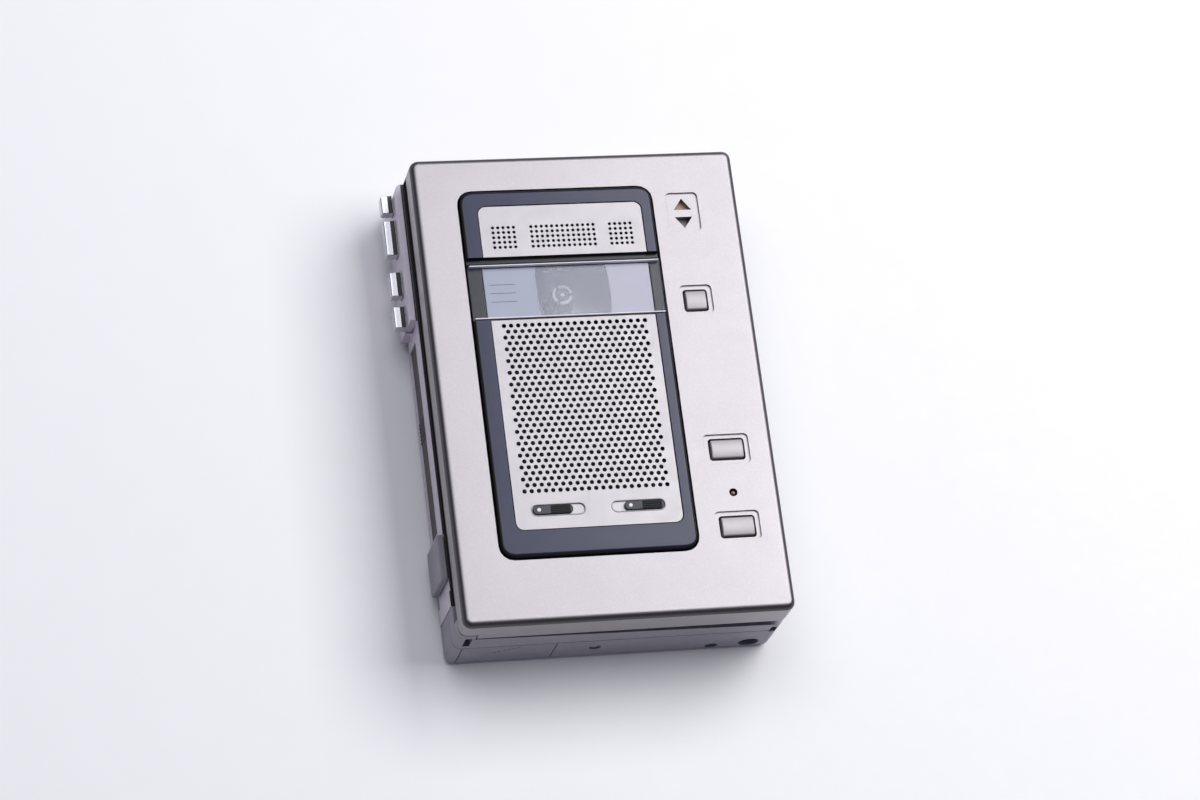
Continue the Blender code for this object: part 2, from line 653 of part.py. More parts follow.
def belt_route():
    """Tangents and arcs of the flat loop: the lower flywheel bears on the belt's outside."""
    reach = GAP + BELT_RADIUS
    wheels = ((MOTOR, PULLEY_RADIUS + reach, 1),
              ((CAPSTAN_X, CAPSTAN_Y[1]), FLYWHEEL_RADIUS + reach, -1),
              ((CAPSTAN_X, CAPSTAN_Y[0]), FLYWHEEL_RADIUS + reach, 1))
    normals = []
    for index, (centre, radius, side) in enumerate(wheels):
        target, target_radius, target_side = wheels[(index + 1) % len(wheels)]
        along = Vector(target) - Vector(centre)
        lean = (side * radius - target_side * target_radius) / along.length
        along.normalize()
        right = Vector((along.y, -along.x))
        normals.append(along * lean + right * math.sqrt(1 - lean * lean))
    route = []
    for index, (centre, radius, side) in enumerate(wheels):
        start = math.atan2(side * normals[index - 1].y, side * normals[index - 1].x)
        end = math.atan2(side * normals[index].y, side * normals[index].x)
        sweep = (side * (end - start)) % math.tau
        steps = max(3, round(sweep / 0.35))
        for step in range(steps + 1):
            angle = start + side * sweep * step / steps
            route.append((centre[0] + radius * math.cos(angle),
                          centre[1] + radius * math.sin(angle), BELT_Z))
    return route


def make_head_carriage():
    low, high = CARRIAGE_Z
    middle = sum(CAPSTAN_Y) / 2
    outline = rounded_rect(*CARRIAGE_X, middle - CARRIAGE_HALF_LENGTH, middle + CARRIAGE_HALF_LENGTH, 2)
    plate = slab("head_carriage", outline, low, high)
    for number, y in enumerate(CAPSTAN_Y, 1):
        join(plate, rod(f"roller_post_{number}", (ROLLER_X, y), POST_RADIUS, high - 0.3, POST_TOP,
                        sides=10))
    part(plate, "steel", origin=(ROLLER_X, middle, low))
    shape = box_shape(*HEAD_X, middle - HEAD_HALF_LENGTH, middle + HEAD_HALF_LENGTH, high + GAP,
                      HEAD_TOP)
    round_edges(shape, lambda co: co.x < HEAD_X[0] + 0.01, 1.6, 3)
    part(mesh_object("tape_head", shape), "steel", origin=(ROLLER_X, middle, low))
    bottom, top = ROLLER_Z
    profile = ((ROLLER_BORE, top), (ROLLER_RADIUS, top), (ROLLER_RADIUS, bottom),
               (ROLLER_BORE, bottom), (ROLLER_BORE, top))
    for name, y in zip(("upper", "lower"), CAPSTAN_Y):
        part(turned(f"{name}_pinch_roller", profile, (ROLLER_X, y), 20), "rubber")


# ---------------------------------------------------------------- electrics

def socket_body(name, centre, half_width, bore_radius, bore_end):
    """A moulded block behind the bottom end's wall, bored from the outside."""
    block = box(name, centre[0] - half_width, centre[0] + half_width, -INNER_Y + GAP, SOCKET_END,
                WALL + GAP, CIRCUIT_BOARD[4] - 0.5)
    cut(block, rod(f"{name}_bore", centre, bore_radius, -INNER_Y - 1, bore_end, "Y"))
    return block


def make_electrics():
    part(box("circuit_board", *CIRCUIT_BOARD), "board_green")
    earphone = socket_body("earphone_jack", EARPHONE, 2.9, EARPHONE_HOLE_RADIUS - 0.6, SOCKET_END - 1.5)
    part(earphone, "black_plastic")
    power = socket_body("power_jack", POWER, 4.6, POWER_HOLE_RADIUS - 0.45, SOCKET_END - 2.5)
    join(power, rod("power_pin", POWER, SOCKET_PIN_RADIUS, -INNER_Y + 1.0, SOCKET_END - 2, "Y", 10))
    part(power, "black_plastic")


def make_volume_wheel():
    x, y, radius = WHEEL
    low, high = WHEEL_Z
    points = []
    teeth = 30
    for index in range(teeth):
        for share, reach in ((0.0, radius), (0.5, radius), (0.6, radius - 0.35), (0.9, radius - 0.35)):
            angle = math.tau * (index + share) / teeth
            points.append((x + reach * math.cos(angle), y + reach * math.sin(angle)))
    wheel = slab("volume_wheel", points, low, high)
    join(wheel, rod("wheel_shaft", (x, y), 1.5, 2.4, low + 0.5, sides=12))
    part(wheel, "black_plastic", origin=(x, y, (low + high) / 2), smooth=False)


def cross_cut(name, centre, half, low, high, along):
    wide, narrow = 0.62 * half, 0.16 * half
    outline = [(-wide, -narrow), (-narrow, -narrow), (-narrow, -wide), (narrow, -wide),
               (narrow, -narrow), (wide, -narrow), (wide, narrow), (narrow, narrow),
               (narrow, wide), (-narrow, wide), (-narrow, narrow), (-wide, narrow)]
    return slab(name, [(centre[0] + u, centre[1] + v) for u, v in outline], low, high, along)


def make_screws():
    for number, spot in enumerate(CASE_SCREWS, 1):
        screw = rod(f"case_screw_{number}", spot, SCREW_HEAD_RADIUS, 0.2, 0.8)
        join(screw, rod(f"case_screw_shank_{number}", spot, SCREW_SHANK_RADIUS, 0.6, SCREW_END, sides=8))
        cut(screw, cross_cut(f"case_screw_cross_{number}", spot, SCREW_HEAD_RADIUS, -0.5, 0.5, "Z"))
        part(screw, "steel", smooth=False)
    screw = rod("end_screw", END_SCREW, 1.35, -HALF_HEIGHT + 0.4, -HALF_HEIGHT + 0.6, "Y")
    join(screw, rod("end_screw_shank", END_SCREW, 0.85, -HALF_HEIGHT + 0.5, END_SCREW_TIP, "Y", 8))
    part(screw, "steel", smooth=False)


# ---------------------------------------------------------------- lid

def front_recess(name, x0, x1, y0, y1):
    return slab(name, rounded_rect(x0, x1, y0, y1, 1.2, 3), FRONT - RECESS_DEPTH, FRONT + 1)


def button_hole(name, button):
    x, y, width, height = button
    return slab(name, rounded_rect(x - width / 2 - GAP, x + width / 2 + GAP, y - height / 2 - GAP,
                                   y + height / 2 + GAP, 0.9, 3), FRONT - WALL - 1, FRONT + 1)


def arrow_hole(name, tip, base):
    outline = [(DIRECTION_X - ARROW_HALF_WIDTH, base), (DIRECTION_X, tip),
               (DIRECTION_X + ARROW_HALF_WIDTH, base)]
    return slab(name, outline, FRONT - WALL - 1, FRONT + 1)


def knuckle_profile():
    """A rounded ear as (x, z): an arc under the pin and a neck up into the lid's right wall."""
    points = [(HINGE_X + 0.8, LID_BOTTOM + 1), (HINGE_X - 0.9, LID_BOTTOM + 1)]
    for step in range(9):
        angle = math.radians(150 + 240 * step / 8)
        points.append((HINGE_X + KNUCKLE_RADIUS * math.cos(angle),
                       HINGE_Z + KNUCKLE_RADIUS * math.sin(angle)))
    return points


def make_lid_shell(hinge):
    shape = prism_shape(body_outline(), LID_BOTTOM, FRONT)
    round_edges(shape, lambda co: co.z > FRONT - 0.01, FRONT_ROUND, 3)
    lid = mesh_object("lid_shell", shape)
    x0, x1, y0, y1 = BEZEL
    grown = (x0 - BEZEL_GROOVE, x1 + BEZEL_GROOVE, y0 - BEZEL_GROOVE, y1 + BEZEL_GROOVE)
    cut(lid,
        slab("lid_inside", rounded_rect(-INNER_X, INNER_X, -INNER_Y, INNER_Y, CORNER - WALL),
             LID_BOTTOM - 1, FRONT - WALL),
        slab("bezel_opening", rounded_rect(*grown, BEZEL_CORNER + BEZEL_GROOVE),
             FRONT - WALL - 1, FRONT + 1),
        box("lid_grip_gap", -HALF_WIDTH - 1, GRIP_GAP_X, -HALF_HEIGHT - 1, HALF_HEIGHT + 1,
            LID_BOTTOM - 1, GRIP_GAP_TOP),
        front_recess("upper_button_recess", *UPPER_RECESS),
        front_recess("middle_button_recess", *MIDDLE_RECESS),
        front_recess("lower_button_recess", *LOWER_RECESS),
        front_recess("direction_recess", DIRECTION_X - DIRECTION_HALF_WIDTH,
                     DIRECTION_X + DIRECTION_HALF_WIDTH, *DIRECTION_Y),
        button_hole("upper_button_hole", UPPER_BUTTON),
        button_hole("middle_button_hole", MIDDLE_BUTTON),
        button_hole("lower_button_hole", LOWER_BUTTON),
        arrow_hole("up_arrow_hole", *UP_ARROW),
        arrow_hole("down_arrow_hole", *DOWN_ARROW),
        rod("lamp_hole", LAMP, LAMP_HOLE_RADIUS, FRONT - WALL - 1, FRONT + 1))
    for number, middle in enumerate(KNUCKLE_Y, 1):
        low, high = middle - KNUCKLE_LENGTH / 2, middle + KNUCKLE_LENGTH / 2
        join(lid, slab(f"knuckle_{number}", knuckle_profile(), low, high, "Y"))
        cut(lid, rod(f"knuckle_bore_{number}", (HINGE_X, HINGE_Z), PIN_BORE, low - 1, high + 1, "Y", 8))
    root, tip = HOOK_X
    outer, shoulder, top = -INNER_X - 0.5, 27.5, FRONT - WALL + 0.5
    hook = ((outer, shoulder), (root, shoulder), (root, HOOK_BOTTOM), (tip, HOOK_BOTTOM), (tip, top),
            (outer, top))
    join(lid, slab("lid_hook", hook, *HOOK_Y, "Y"))
    part(lid, "silver_paint", parent=hinge)


def make_hinge_pins():
    for name, middle in zip(("upper", "lower"), KNUCKLE_Y):
        half = KNUCKLE_LENGTH / 2 + PIN_OVERHANG
        pin = rod(f"{name}_hinge_pin", (HINGE_X, HINGE_Z), PIN_RADIUS, middle - half, middle + half, "Y",
                  10)
        part(pin, "steel")


def make_bezel(hinge):
    x0, x1, y0, y1 = BEZEL
    shape = prism_shape(rounded_rect(*BEZEL, BEZEL_CORNER), BEZEL_BACK, BEZEL_FRONT)
    round_edges(shape, lambda co: co.z > BEZEL_FRONT - 0.01, BEZEL_ROUND, 3)
    bezel = mesh_object("bezel", shape)
    low, high = BEZEL_BACK - 1, BEZEL_FRONT + 1
    shelf = 1.3
    plate_left, plate_right = PLATE_X
    cut(bezel,
        slab("mic_plate_pocket", plate_outline(plate_left - 0.2, plate_right + 0.2, MIC_PLATE_Y[0] - 0.3,
                                               MIC_PLATE_Y[1] + 0.2, 2.4, 1), LEDGE, high),
        slab("grille_plate_pocket", plate_outline(plate_left - 0.2, plate_right + 0.2,
                                                  GRILLE_PLATE_Y[0] - 0.2, GRILLE_PLATE_Y[1] + 0.4,
                                                  2.4, -1), LEDGE, high),
        box("shadow_slot", x0 - 1, x1 + 1, *SHADOW_SLOT_Y, BEZEL_FRONT - 1.6, high),
        box("lens_pocket", x0 - 1, x1 + 1, LENS_Y[0] - 0.2, LENS_Y[1] + 0.2, LENS_BACK - GAP, high),
        box("window_opening", plate_left - 0.6, plate_right + 0.6, LENS_Y[0] + 1.4, LENS_Y[1] - 1.4,
            low, high),
        box("mic_opening", plate_left + shelf, plate_right - shelf, MIC_PLATE_Y[0] + shelf,
            MIC_PLATE_Y[1] - shelf, low, high),
        box("speaker_opening", plate_left + shelf, plate_right - shelf, -33.0,
            GRILLE_PLATE_Y[1] - shelf, low, high))
    for name, (left, right) in (("left", LEFT_SWITCH), ("right", RIGHT_SWITCH)):
        cut(bezel, box(f"{name}_switch_well", left - 0.6, right + 0.6, SWITCH_Y - 2.2, SWITCH_Y + 2.2,
                       low, high))
    part(bezel, "bezel_grey", parent=hinge)


def make_front_plates(hinge):
    low, high = PLATE_TOP - PLATE_THICKNESS, PLATE_TOP
    mic = slab("mic_plate", plate_outline(*PLATE_X, *MIC_PLATE_Y, 2.2, 1), low, high)
    part(mic, "aluminium", parent=hinge)
    grille = slab("grille_plate", plate_outline(*PLATE_X, *GRILLE_PLATE_Y, 2.2, -1), low, high)
    for name, (left, right) in (("left", LEFT_SWITCH), ("right", RIGHT_SWITCH)):
        half = SWITCH_SLOT_HEIGHT / 2
        cut(grille, slab(f"{name}_switch_slot", rounded_rect(left, right, SWITCH_Y - half, SWITCH_Y + half,
                                                             half - 0.05), low - 1, high + 1))
    part(grille, "aluminium", parent=hinge)


def make_window(hinge):
    x0, x1 = BEZEL[0], BEZEL[1]
    shape = box_shape(x0, x1, *LENS_Y, LENS_BACK, LENS_FRONT)
    round_edges(shape, lambda co: co.z > LENS_FRONT - 0.01, 0.35, 2)
    part(mesh_object("window_lens", shape), "clear", parent=hinge)
    left = PLATE_X[0] - 0.6 + GAP
    card = box("legend_card", left, -14.5, LENS_Y[0] + 1.7, LENS_Y[1] - 1.7, 32.5, 33.1)
    part(card, "card", parent=hinge)


def make_speaker(hinge):
    basket = turned("speaker_basket", ((14.5, 31.9), (19.6, 31.9), (19.6, 31.0), (17.5, 30.6),
                                       (10.5, 29.4), (9.2, 29.4), (9.2, 29.9), (10.0, 29.9),
                                       (14.5, 31.0), (14.5, 31.9)), SPEAKER, 32)
    part(basket, "steel", parent=hinge)
    cone = turned("speaker_cone", ((0.0, 30.6), (3.0, 30.4), (4.0, 30.6), (14.1, 31.8), (14.1, 31.4),
                                   (4.0, 30.25), (3.0, 30.0), (0.0, 30.2)), SPEAKER, 24)
    part(cone, "paper", parent=hinge)
    magnet = turned("speaker_magnet", ((0.0, 29.6), (8.8, 29.6), (8.8, 28.1), (0.0, 28.1)), SPEAKER, 24)
    part(magnet, "steel", parent=hinge)


def make_microphones(hinge):
    for name, x in zip(("left", "right"), MICROPHONE_X):
        capsule = rod(f"{name}_microphone", (x, MICROPHONE_Y), MICROPHONE_RADIUS, *MICROPHONE_Z, sides=20)
        part(capsule, "aluminium", parent=hinge)


def make_lid_electrics(hinge):
    part(box("lid_board", *LID_BOARD), "board_green", parent=hinge)
    lamp = turned("record_lamp", ((0.0, 33.7), (0.6, 33.6), (0.85, 33.2), (0.85, 31.6), (1.6, 31.6),
                                  (1.6, 30.4), (0.0, 30.4)), LAMP, 14)
    part(lamp, "red_lamp", parent=hinge)


def make_buttons(hinge):
    low, high = BUTTON_FLANGE
    for name, (x, y, width, height) in (("upper", UPPER_BUTTON), ("middle", MIDDLE_BUTTON),
                                        ("lower", LOWER_BUTTON)):
        shape = prism_shape(rounded_rect(x - width / 2, x + width / 2, y - height / 2, y + height / 2,
                                         0.7, 3), low, BUTTON_TOP)
        round_edges(shape, lambda co: co.z > BUTTON_TOP - 0.01, 0.4, 2)
        button = mesh_object(f"{name}_button", shape)
        flange = box(f"{name}_button_flange", x - width / 2 - 1, x + width / 2 + 1, y - height / 2 - 1,
                     y + height / 2 + 1, low - 0.01, high)
        join(button, flange)
        part(button, "button_grey", origin=(x, y, low), parent=hinge)


def make_switch_knobs(hinge):
    half = SWITCH_SLOT_HEIGHT / 2 - 0.3
    length = LEFT_SWITCH[1] - LEFT_SWITCH[0] - SWITCH_TRAVEL - 0.6
    starts = {"left": LEFT_SWITCH[0] + 0.3, "right": RIGHT_SWITCH[1] - 0.3 - length}
    for name, start in starts.items():
        shape = prism_shape(rounded_rect(start, start + length, SWITCH_Y - half, SWITCH_Y + half,
                                         half - 0.05), 33.2, 35.7)
        round_edges(shape, lambda co: co.z > 35.69, 0.3, 2)
        knob = mesh_object(f"{name}_switch_knob", shape)
        join(knob, box(f"{name}_switch_foot", start + 1, start + length - 1, SWITCH_Y - 1.9,
                       SWITCH_Y + 1.9, 32.6, 33.7))
        part(knob, "black_plastic", origin=(start + length / 2, SWITCH_Y, 33.5), parent=hinge)


def make_direction_flag(hinge):
    flag = box("direction_flag", DIRECTION_X - FLAG_HALF_WIDTH, DIRECTION_X + FLAG_HALF_WIDTH, *FLAG_Y,
               *FLAG_Z)
    part(flag, "orange", origin=(DIRECTION_X, sum(FLAG_Y) / 2, sum(FLAG_Z) / 2), parent=hinge)


def make_lid():
    hinge = bpy.data.objects.new("lid_hinge", None)
    PARTS.objects.link(hinge)
    hinge.location = Vector((HINGE_X, 0.0, HINGE_Z)) * MM
    make_lid_shell(hinge)
    make_bezel(hinge)
    make_front_plates(hinge)
    make_window(hinge)
    make_speaker(hinge)
    make_microphones(hinge)
    make_lid_electrics(hinge)
    make_buttons(hinge)
    make_switch_knobs(hinge)
    make_direction_flag(hinge)


def build():
    make_rear_case()
    make_mid_frame()
    make_finger_rail()
    make_side_panel()
    make_side_grip()
    make_keys()
    make_lid_release()
    make_battery_door()
    make_battery_contacts()
    make_deck_plate()
    make_well_liner()
    make_spindles()
    make_flywheels()
    make_motor()
    wire("drive_belt", belt_route(), BELT_RADIUS, "rubber", closed=True)
    make_head_carriage()
    make_electrics()
    make_volume_wheel()
    make_screws()
    make_hinge_pins()
    make_lid()


build()
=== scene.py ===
"""Looks for the portable cassette dictation recorder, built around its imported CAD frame.

Lengths are millimetres until a mesh is made. +X is right seen from the front, +Y is towards the
microphones and +Z is out of the front. The recorder lies on its back.
"""
import json
import math

import bmesh
import bpy
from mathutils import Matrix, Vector


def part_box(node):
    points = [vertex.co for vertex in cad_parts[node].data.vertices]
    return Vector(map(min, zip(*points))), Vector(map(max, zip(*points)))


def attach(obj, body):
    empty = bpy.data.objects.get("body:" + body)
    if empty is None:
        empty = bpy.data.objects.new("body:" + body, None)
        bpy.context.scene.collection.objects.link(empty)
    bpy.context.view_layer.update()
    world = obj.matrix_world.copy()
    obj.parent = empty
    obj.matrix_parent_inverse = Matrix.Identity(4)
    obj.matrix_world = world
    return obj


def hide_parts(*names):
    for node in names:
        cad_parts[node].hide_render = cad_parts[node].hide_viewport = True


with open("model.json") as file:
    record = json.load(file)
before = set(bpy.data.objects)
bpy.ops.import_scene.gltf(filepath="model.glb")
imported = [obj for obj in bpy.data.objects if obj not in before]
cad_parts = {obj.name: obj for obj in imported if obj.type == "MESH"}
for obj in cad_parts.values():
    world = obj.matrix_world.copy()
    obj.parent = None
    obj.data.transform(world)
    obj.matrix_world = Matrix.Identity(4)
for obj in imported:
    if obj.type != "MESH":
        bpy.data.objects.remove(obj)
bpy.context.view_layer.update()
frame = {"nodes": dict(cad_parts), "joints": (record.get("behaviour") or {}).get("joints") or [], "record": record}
MM = 0.001

# Speaker perforations. The rows' middle is shifted right of the plate's, and the margin runs from
# the plate's top edge to the first row.
GRILLE_PITCH = 2.0
GRILLE_ROWS = 29
GRILLE_LONG_ROW = 21
GRILLE_HOLE = 0.61
GRILLE_SHIFT = 0.1
GRILLE_MARGIN = 1.7
HOLE_SIDES = 14

# Microphone perforations, in three blocks that start at MIC_STARTS
MIC_PITCH = 1.48
MIC_COLUMNS = (5, 13, 5)
MIC_STARTS = (-25.3, -14.4, 8.1)
MIC_ROWS = 5
MIC_FIRST_ROW = 46.6
MIC_HOLE = 0.46
MIC_HOLE_SIDES = 12

# Plates and the cloth behind them
PLATE_CORNER = 2.2
PLATE_SHEET = 0.25
SHELF = 1.3
SPEAKER_OPENING_END = -33.0
SCREEN_DEPTH = 0.9
TRAY_DEPTH = 0.35
RIM_RADIUS = 0.16
SLOT_GAP = 0.3
SLOT_HALF = 1.6

# Buttons
BUTTONS = ("upper_button", "middle_button", "lower_button")
BUTTON_FLANGE = 1.0
BUTTON_GAP = 0.28
BUTTON_CROWN = 0.45

# Slide knobs, with 1 for one that slides towards +X and -1 for the other way. The dot is placed from
# the knob's left end, and the grip runs from near its middle to near its right end.
KNOBS = {"left_switch_knob": 1, "right_switch_knob": -1}
KNOB_HALF = 1.3
KNOB_INSERT_DROP = 0.35
DOT_FROM_END = 1.7
DOT_RADIUS = 0.55
KNURL_START = -0.6
KNURL_END = 0.75
KNURL_INSET = 0.2
STUD_PITCH = 0.5
STUD_GAP = 0.06

# Keys, and the painted gap shadow on the side panel's front edge with its painted highlight line
KEYS = ("record", "play", "wind", "stop")
KEY_BODY_END = -46.5
KEY_BLACK_STRIP = (-50.0, -48.7)
KEY_TAPER = 0.12
KEY_ROUND = 0.6
PANEL_GAP_SHADOW_X = (-47.1, -40.0)
PANEL_GAP_SHADOW_Z = (20.4, 30.0)
PANEL_LIP_HIGHLIGHT_X = (-46.75, -46.5)

# Window: the film's three parts, the band and pale part of which paint in the pane's reflection, the lines on it,
# the painted highlights at the pane's edges and the spindle ends.
# The band bows out by BAND_BOW at its left and right, and depths are below a spindle's end.
BAND_X = (-14.2, 5.5)
FILM_X = (-29.4, 17.9)
FILM_Y = (19.75, 34.8)
FILM_Z = (33.66, 33.80)
BAND_BOW = (1.0, 0.5)
LEGEND_X = (1.2, 8.5)
LEGEND_HALF = 0.06
LEGEND_SHARES = (0.3, 0.5, 0.7)
LEGEND_LIFT = (0.02, 0.05)
LENS_INSET = 0.4
LENS_SKIN = 0.05
LENS_TOP_EDGE = 0.38
LENS_BOTTOM_EDGE = 0.4
SPINDLES = ("upper_spindle", "lower_spindle")
RING_RADII = (2.1, 2.85)
RING_STARTS = (10, 130, 250)
RING_ARC = 100
RING_DEPTHS = (0.8, 0.1)
TIP_RADIUS = 0.55
TIP_DEPTHS = (0.2, 0.02)

# Grey strip under the direction flag
FLAG_MARGIN = 0.3
FLAG_BACKING_DEPTHS = (0.45, 0.2)

# Edges of carried-over parts
EDGE_WIDTH = 0.12
SHARP_ANGLE = math.radians(34)
NO_EDGES = {"drive_belt", "battery_spring", "speaker_cone"}

# Painted shade on the rounded edges of metallic paint: the range of a normal's Z over which its colour darkens,
# and how much
PAINTED_SHADE_FROM_WALL = (0.02, 0.15)
PAINTED_SHADE_TO_FRONT = (0.86, 0.999)
PAINTED_SHADE_FACTOR = 0.30

# Studio and camera, in metres and degrees
KEY_LIGHT_PLACE = (0.87, 0.5, 1.3)
TOP_LIGHT_DIRECTION = Vector((-0.25, 0.35, 1.0)).normalized()
TOP_LIGHT_DISTANCE = 1.8
STRAIGHT_UP = (0.0, 0.0, 1.0)
FLOOR_HALF = 4.0
CAMERA_PLACE = (-0.25615, -0.38652, 1.05467)
CAMERA_TURN = (21.497, -11.372, -7.213)
CAMERA_LENS = 122.063

SLOT_OF = {entry["node"]: entry["material_slot"] for entry in frame["record"]["subparts"]}
BODY_OF = {node: body for body, nodes in frame["record"]["behaviour"]["bodies"].items()
           for node in nodes}


def low(node):
    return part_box(node)[0] / MM


def high(node):
    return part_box(node)[1] / MM


def centre(node):
    return (low(node) + high(node)) / 2


def travel(node):
    """How far a sliding body moves from rest."""
    return max(abs(value) for joint in frame["joints"] if joint["child"] == node
               for value in joint["range_m"]) / MM


# ---------------------------------------------------------------- materials

class Surface:
    """A procedural material: mottled colour, uneven roughness, fine grain and worn edges."""

    def __init__(self, name):
        self.material = bpy.data.materials.new(name)
        self.material.use_nodes = True
        self.tree = self.material.node_tree
        self.shader = self.tree.nodes["Principled BSDF"]
        self.place = self.add("ShaderNodeTexCoord").outputs["Object"]

    def add(self, kind, **values):
        made = self.tree.nodes.new(kind)
        for key, value in values.items():
            setattr(made, key, value)
        return made

    def link(self, source, target):
        self.tree.links.new(source, target)

    def noise(self, size, detail=3.0):
        """Noise whose features are about size millimetres across."""
        made = self.add("ShaderNodeTexNoise")
        made.inputs["Scale"].default_value = 1.0 / (size * MM)
        made.inputs["Detail"].default_value = detail
        self.link(self.place, made.inputs["Vector"])
        return made.outputs["Fac"]

    def spread(self, source, start, end, first, last):
        made = self.add("ShaderNodeMapRange")
        for socket, value in zip(("From Min", "From Max", "To Min", "To Max"), (start, end, first, last)):
            made.inputs[socket].default_value = value
        self.link(source, made.inputs["Value"])
        return made.outputs["Result"]

    def maths(self, operation, first, second):
        made = self.add("ShaderNodeMath", operation=operation)
        for socket, value in zip(made.inputs, (first, second)):
            if isinstance(value, float):
                socket.default_value = value
            else:
                self.link(value, socket)
        return made.outputs["Value"]

    def mix(self, share, first, second):
        made = self.add("ShaderNodeMix", data_type="RGBA")
        self.link(share, made.inputs["Factor"])
        for socket, value in zip((made.inputs[6], made.inputs[7]), (first, second)):
            if isinstance(value, tuple):
                socket.default_value = (*value, 1.0)
            else:
                self.link(value, socket)
        return made.outputs[2]

    def edges(self, reach):
        """1 on sharp edges and 0 on flats, broken up as rubbing would."""
        bevel = self.add("ShaderNodeBevel", samples=4)
        bevel.inputs["Radius"].default_value = reach * MM
        dot = self.add("ShaderNodeVectorMath", operation="DOT_PRODUCT")
        self.link(bevel.outputs["Normal"], dot.inputs[0])
        self.link(self.add("ShaderNodeNewGeometry").outputs["Normal"], dot.inputs[1])
        line = self.spread(dot.outputs["Value"], 0.82, 0.98, 1.0, 0.0)
        return self.maths("MULTIPLY", line, self.spread(self.noise(1.6, 5.0), 0.45, 0.62, 0.0, 1.0))

    def bump(self, height, depth, strength=1.0):
        made = self.add("ShaderNodeBump")
        made.inputs["Strength"].default_value = strength
        made.inputs["Distance"].default_value = depth * MM
        self.link(height, made.inputs["Height"])
        self.link(made.outputs["Normal"], self.shader.inputs["Normal"])


def shade(colour, factor):
    return tuple(min(1.0, channel * factor) for channel in colour)


def surface(name, colour, roughness, metallic=0.0, mottle=0.05, grain=0.012, grain_size=0.25,
            flake=0.0, wear=None, uneven=0.05, coat=0.0):
    made = Surface(name)
    shader = made.shader
    shader.inputs["Metallic"].default_value = metallic
    shader.inputs["Coat Weight"].default_value = coat
    shader.inputs["Coat Roughness"].default_value = 0.12
    tone = made.mix(made.spread(made.noise(14.0), 0.3, 0.7, 0.0, 1.0), shade(colour, 1 - mottle),
                    shade(colour, 1 + mottle))
    fine = made.noise(grain_size, 2.0)
    if flake:
        sparkle = made.spread(fine, 0.52, 0.72, 0.0, flake)
        tone = made.mix(sparkle, tone, shade(colour, 1.45))
    if wear:
        tone = made.mix(made.maths("MULTIPLY", made.edges(0.3), 0.6), tone, wear)
    made.link(tone, shader.inputs["Base Color"])
    made.link(made.spread(made.noise(3.5, 5.0), 0.3, 0.7, roughness - uneven, roughness + uneven),
              shader.inputs["Roughness"])
    made.bump(fine, grain)
    return made


def band(made, axis, start, end):
    """1 between two heights along an axis, in millimetres, and 0 outside."""
    split = made.add("ShaderNodeSeparateXYZ")
    made.link(made.place, split.inputs[0])
    spot = split.outputs[axis]
    above = made.maths("GREATER_THAN", spot, start * MM)
    return made.maths("MULTIPLY", above, made.maths("LESS_THAN", spot, end * MM))


def stippled(name, colour, roughness, axis, start, end, size, depth):
    """A moulded surface with fine stipple on one part of it."""
    made = surface(name, colour, roughness, mottle=0.04, wear=shade(colour, 1.5))
    cells = made.add("ShaderNodeTexVoronoi")
    cells.inputs["Scale"].default_value = 1.0 / (size * MM)
    made.link(made.place, cells.inputs["Vector"])
    height = made.maths("MULTIPLY", cells.outputs["Distance"], band(made, axis, start, end))
    made.bump(height, depth)
    return made


def clear_sheet(name, colour, alpha):
    """A thin clear sheet that lets light straight through and keeps a faint smeared shine."""
    made = Surface(name)
    shader = made.shader
    shader.inputs["Alpha"].default_value = alpha
    shader.inputs["IOR"].default_value = 1.49
    tone = made.mix(made.noise(14.0), shade(colour, 0.97), shade(colour, 1.03))
    made.link(tone, shader.inputs["Base Color"])
    made.link(made.spread(made.noise(4.0, 6.0), 0.45, 0.75, 0.03, 0.12), shader.inputs["Roughness"])
    made.bump(made.noise(9.0), 0.01, 0.4)
    return made


def paint_edge_shade(made, colour):
    """Darken metallic paint where the surface rolls away from the front: painted shade on the rounded edges.

    The flat front and the upright walls keep the full colour.
    """
    split = made.add("ShaderNodeSeparateXYZ")
    made.link(made.add("ShaderNodeTexCoord").outputs["Normal"], split.inputs[0])
    lean = split.outputs["Z"]
    painted_roll_shade = made.maths("MULTIPLY", made.spread(lean, *PAINTED_SHADE_FROM_WALL, 0.0, 1.0),
                        made.spread(lean, *PAINTED_SHADE_TO_FRONT, 1.0, 0.0))
    tone = made.shader.inputs["Base Color"].links[0].from_socket
    made.link(made.mix(painted_roll_shade, tone, shade(colour, PAINTED_SHADE_FACTOR)), made.shader.inputs["Base Color"])
    return made


def black_below_face_and_painted_shade(name, colour, roughness, axis, start, end, dark, wear):
    """A painted moulding left dark everywhere outside one band along an axis; the dark part is black plastic and
    also painted shade in hollows and painted dark reflection on chamfers.
    """
    made = surface(name, colour, roughness, mottle=0.04, grain=0.003, grain_size=0.3, uneven=0.012)
    tone = made.shader.inputs["Base Color"].links[0].from_socket
    painted = band(made, axis, start, end)
    made.shader.inputs["Specular IOR Level"].default_value = 0.36
    tone = made.mix(made.maths("MULTIPLY", made.edges(0.25), 0.4), tone, wear)
    made.link(made.mix(painted, dark, tone), made.shader.inputs["Base Color"])
    return made


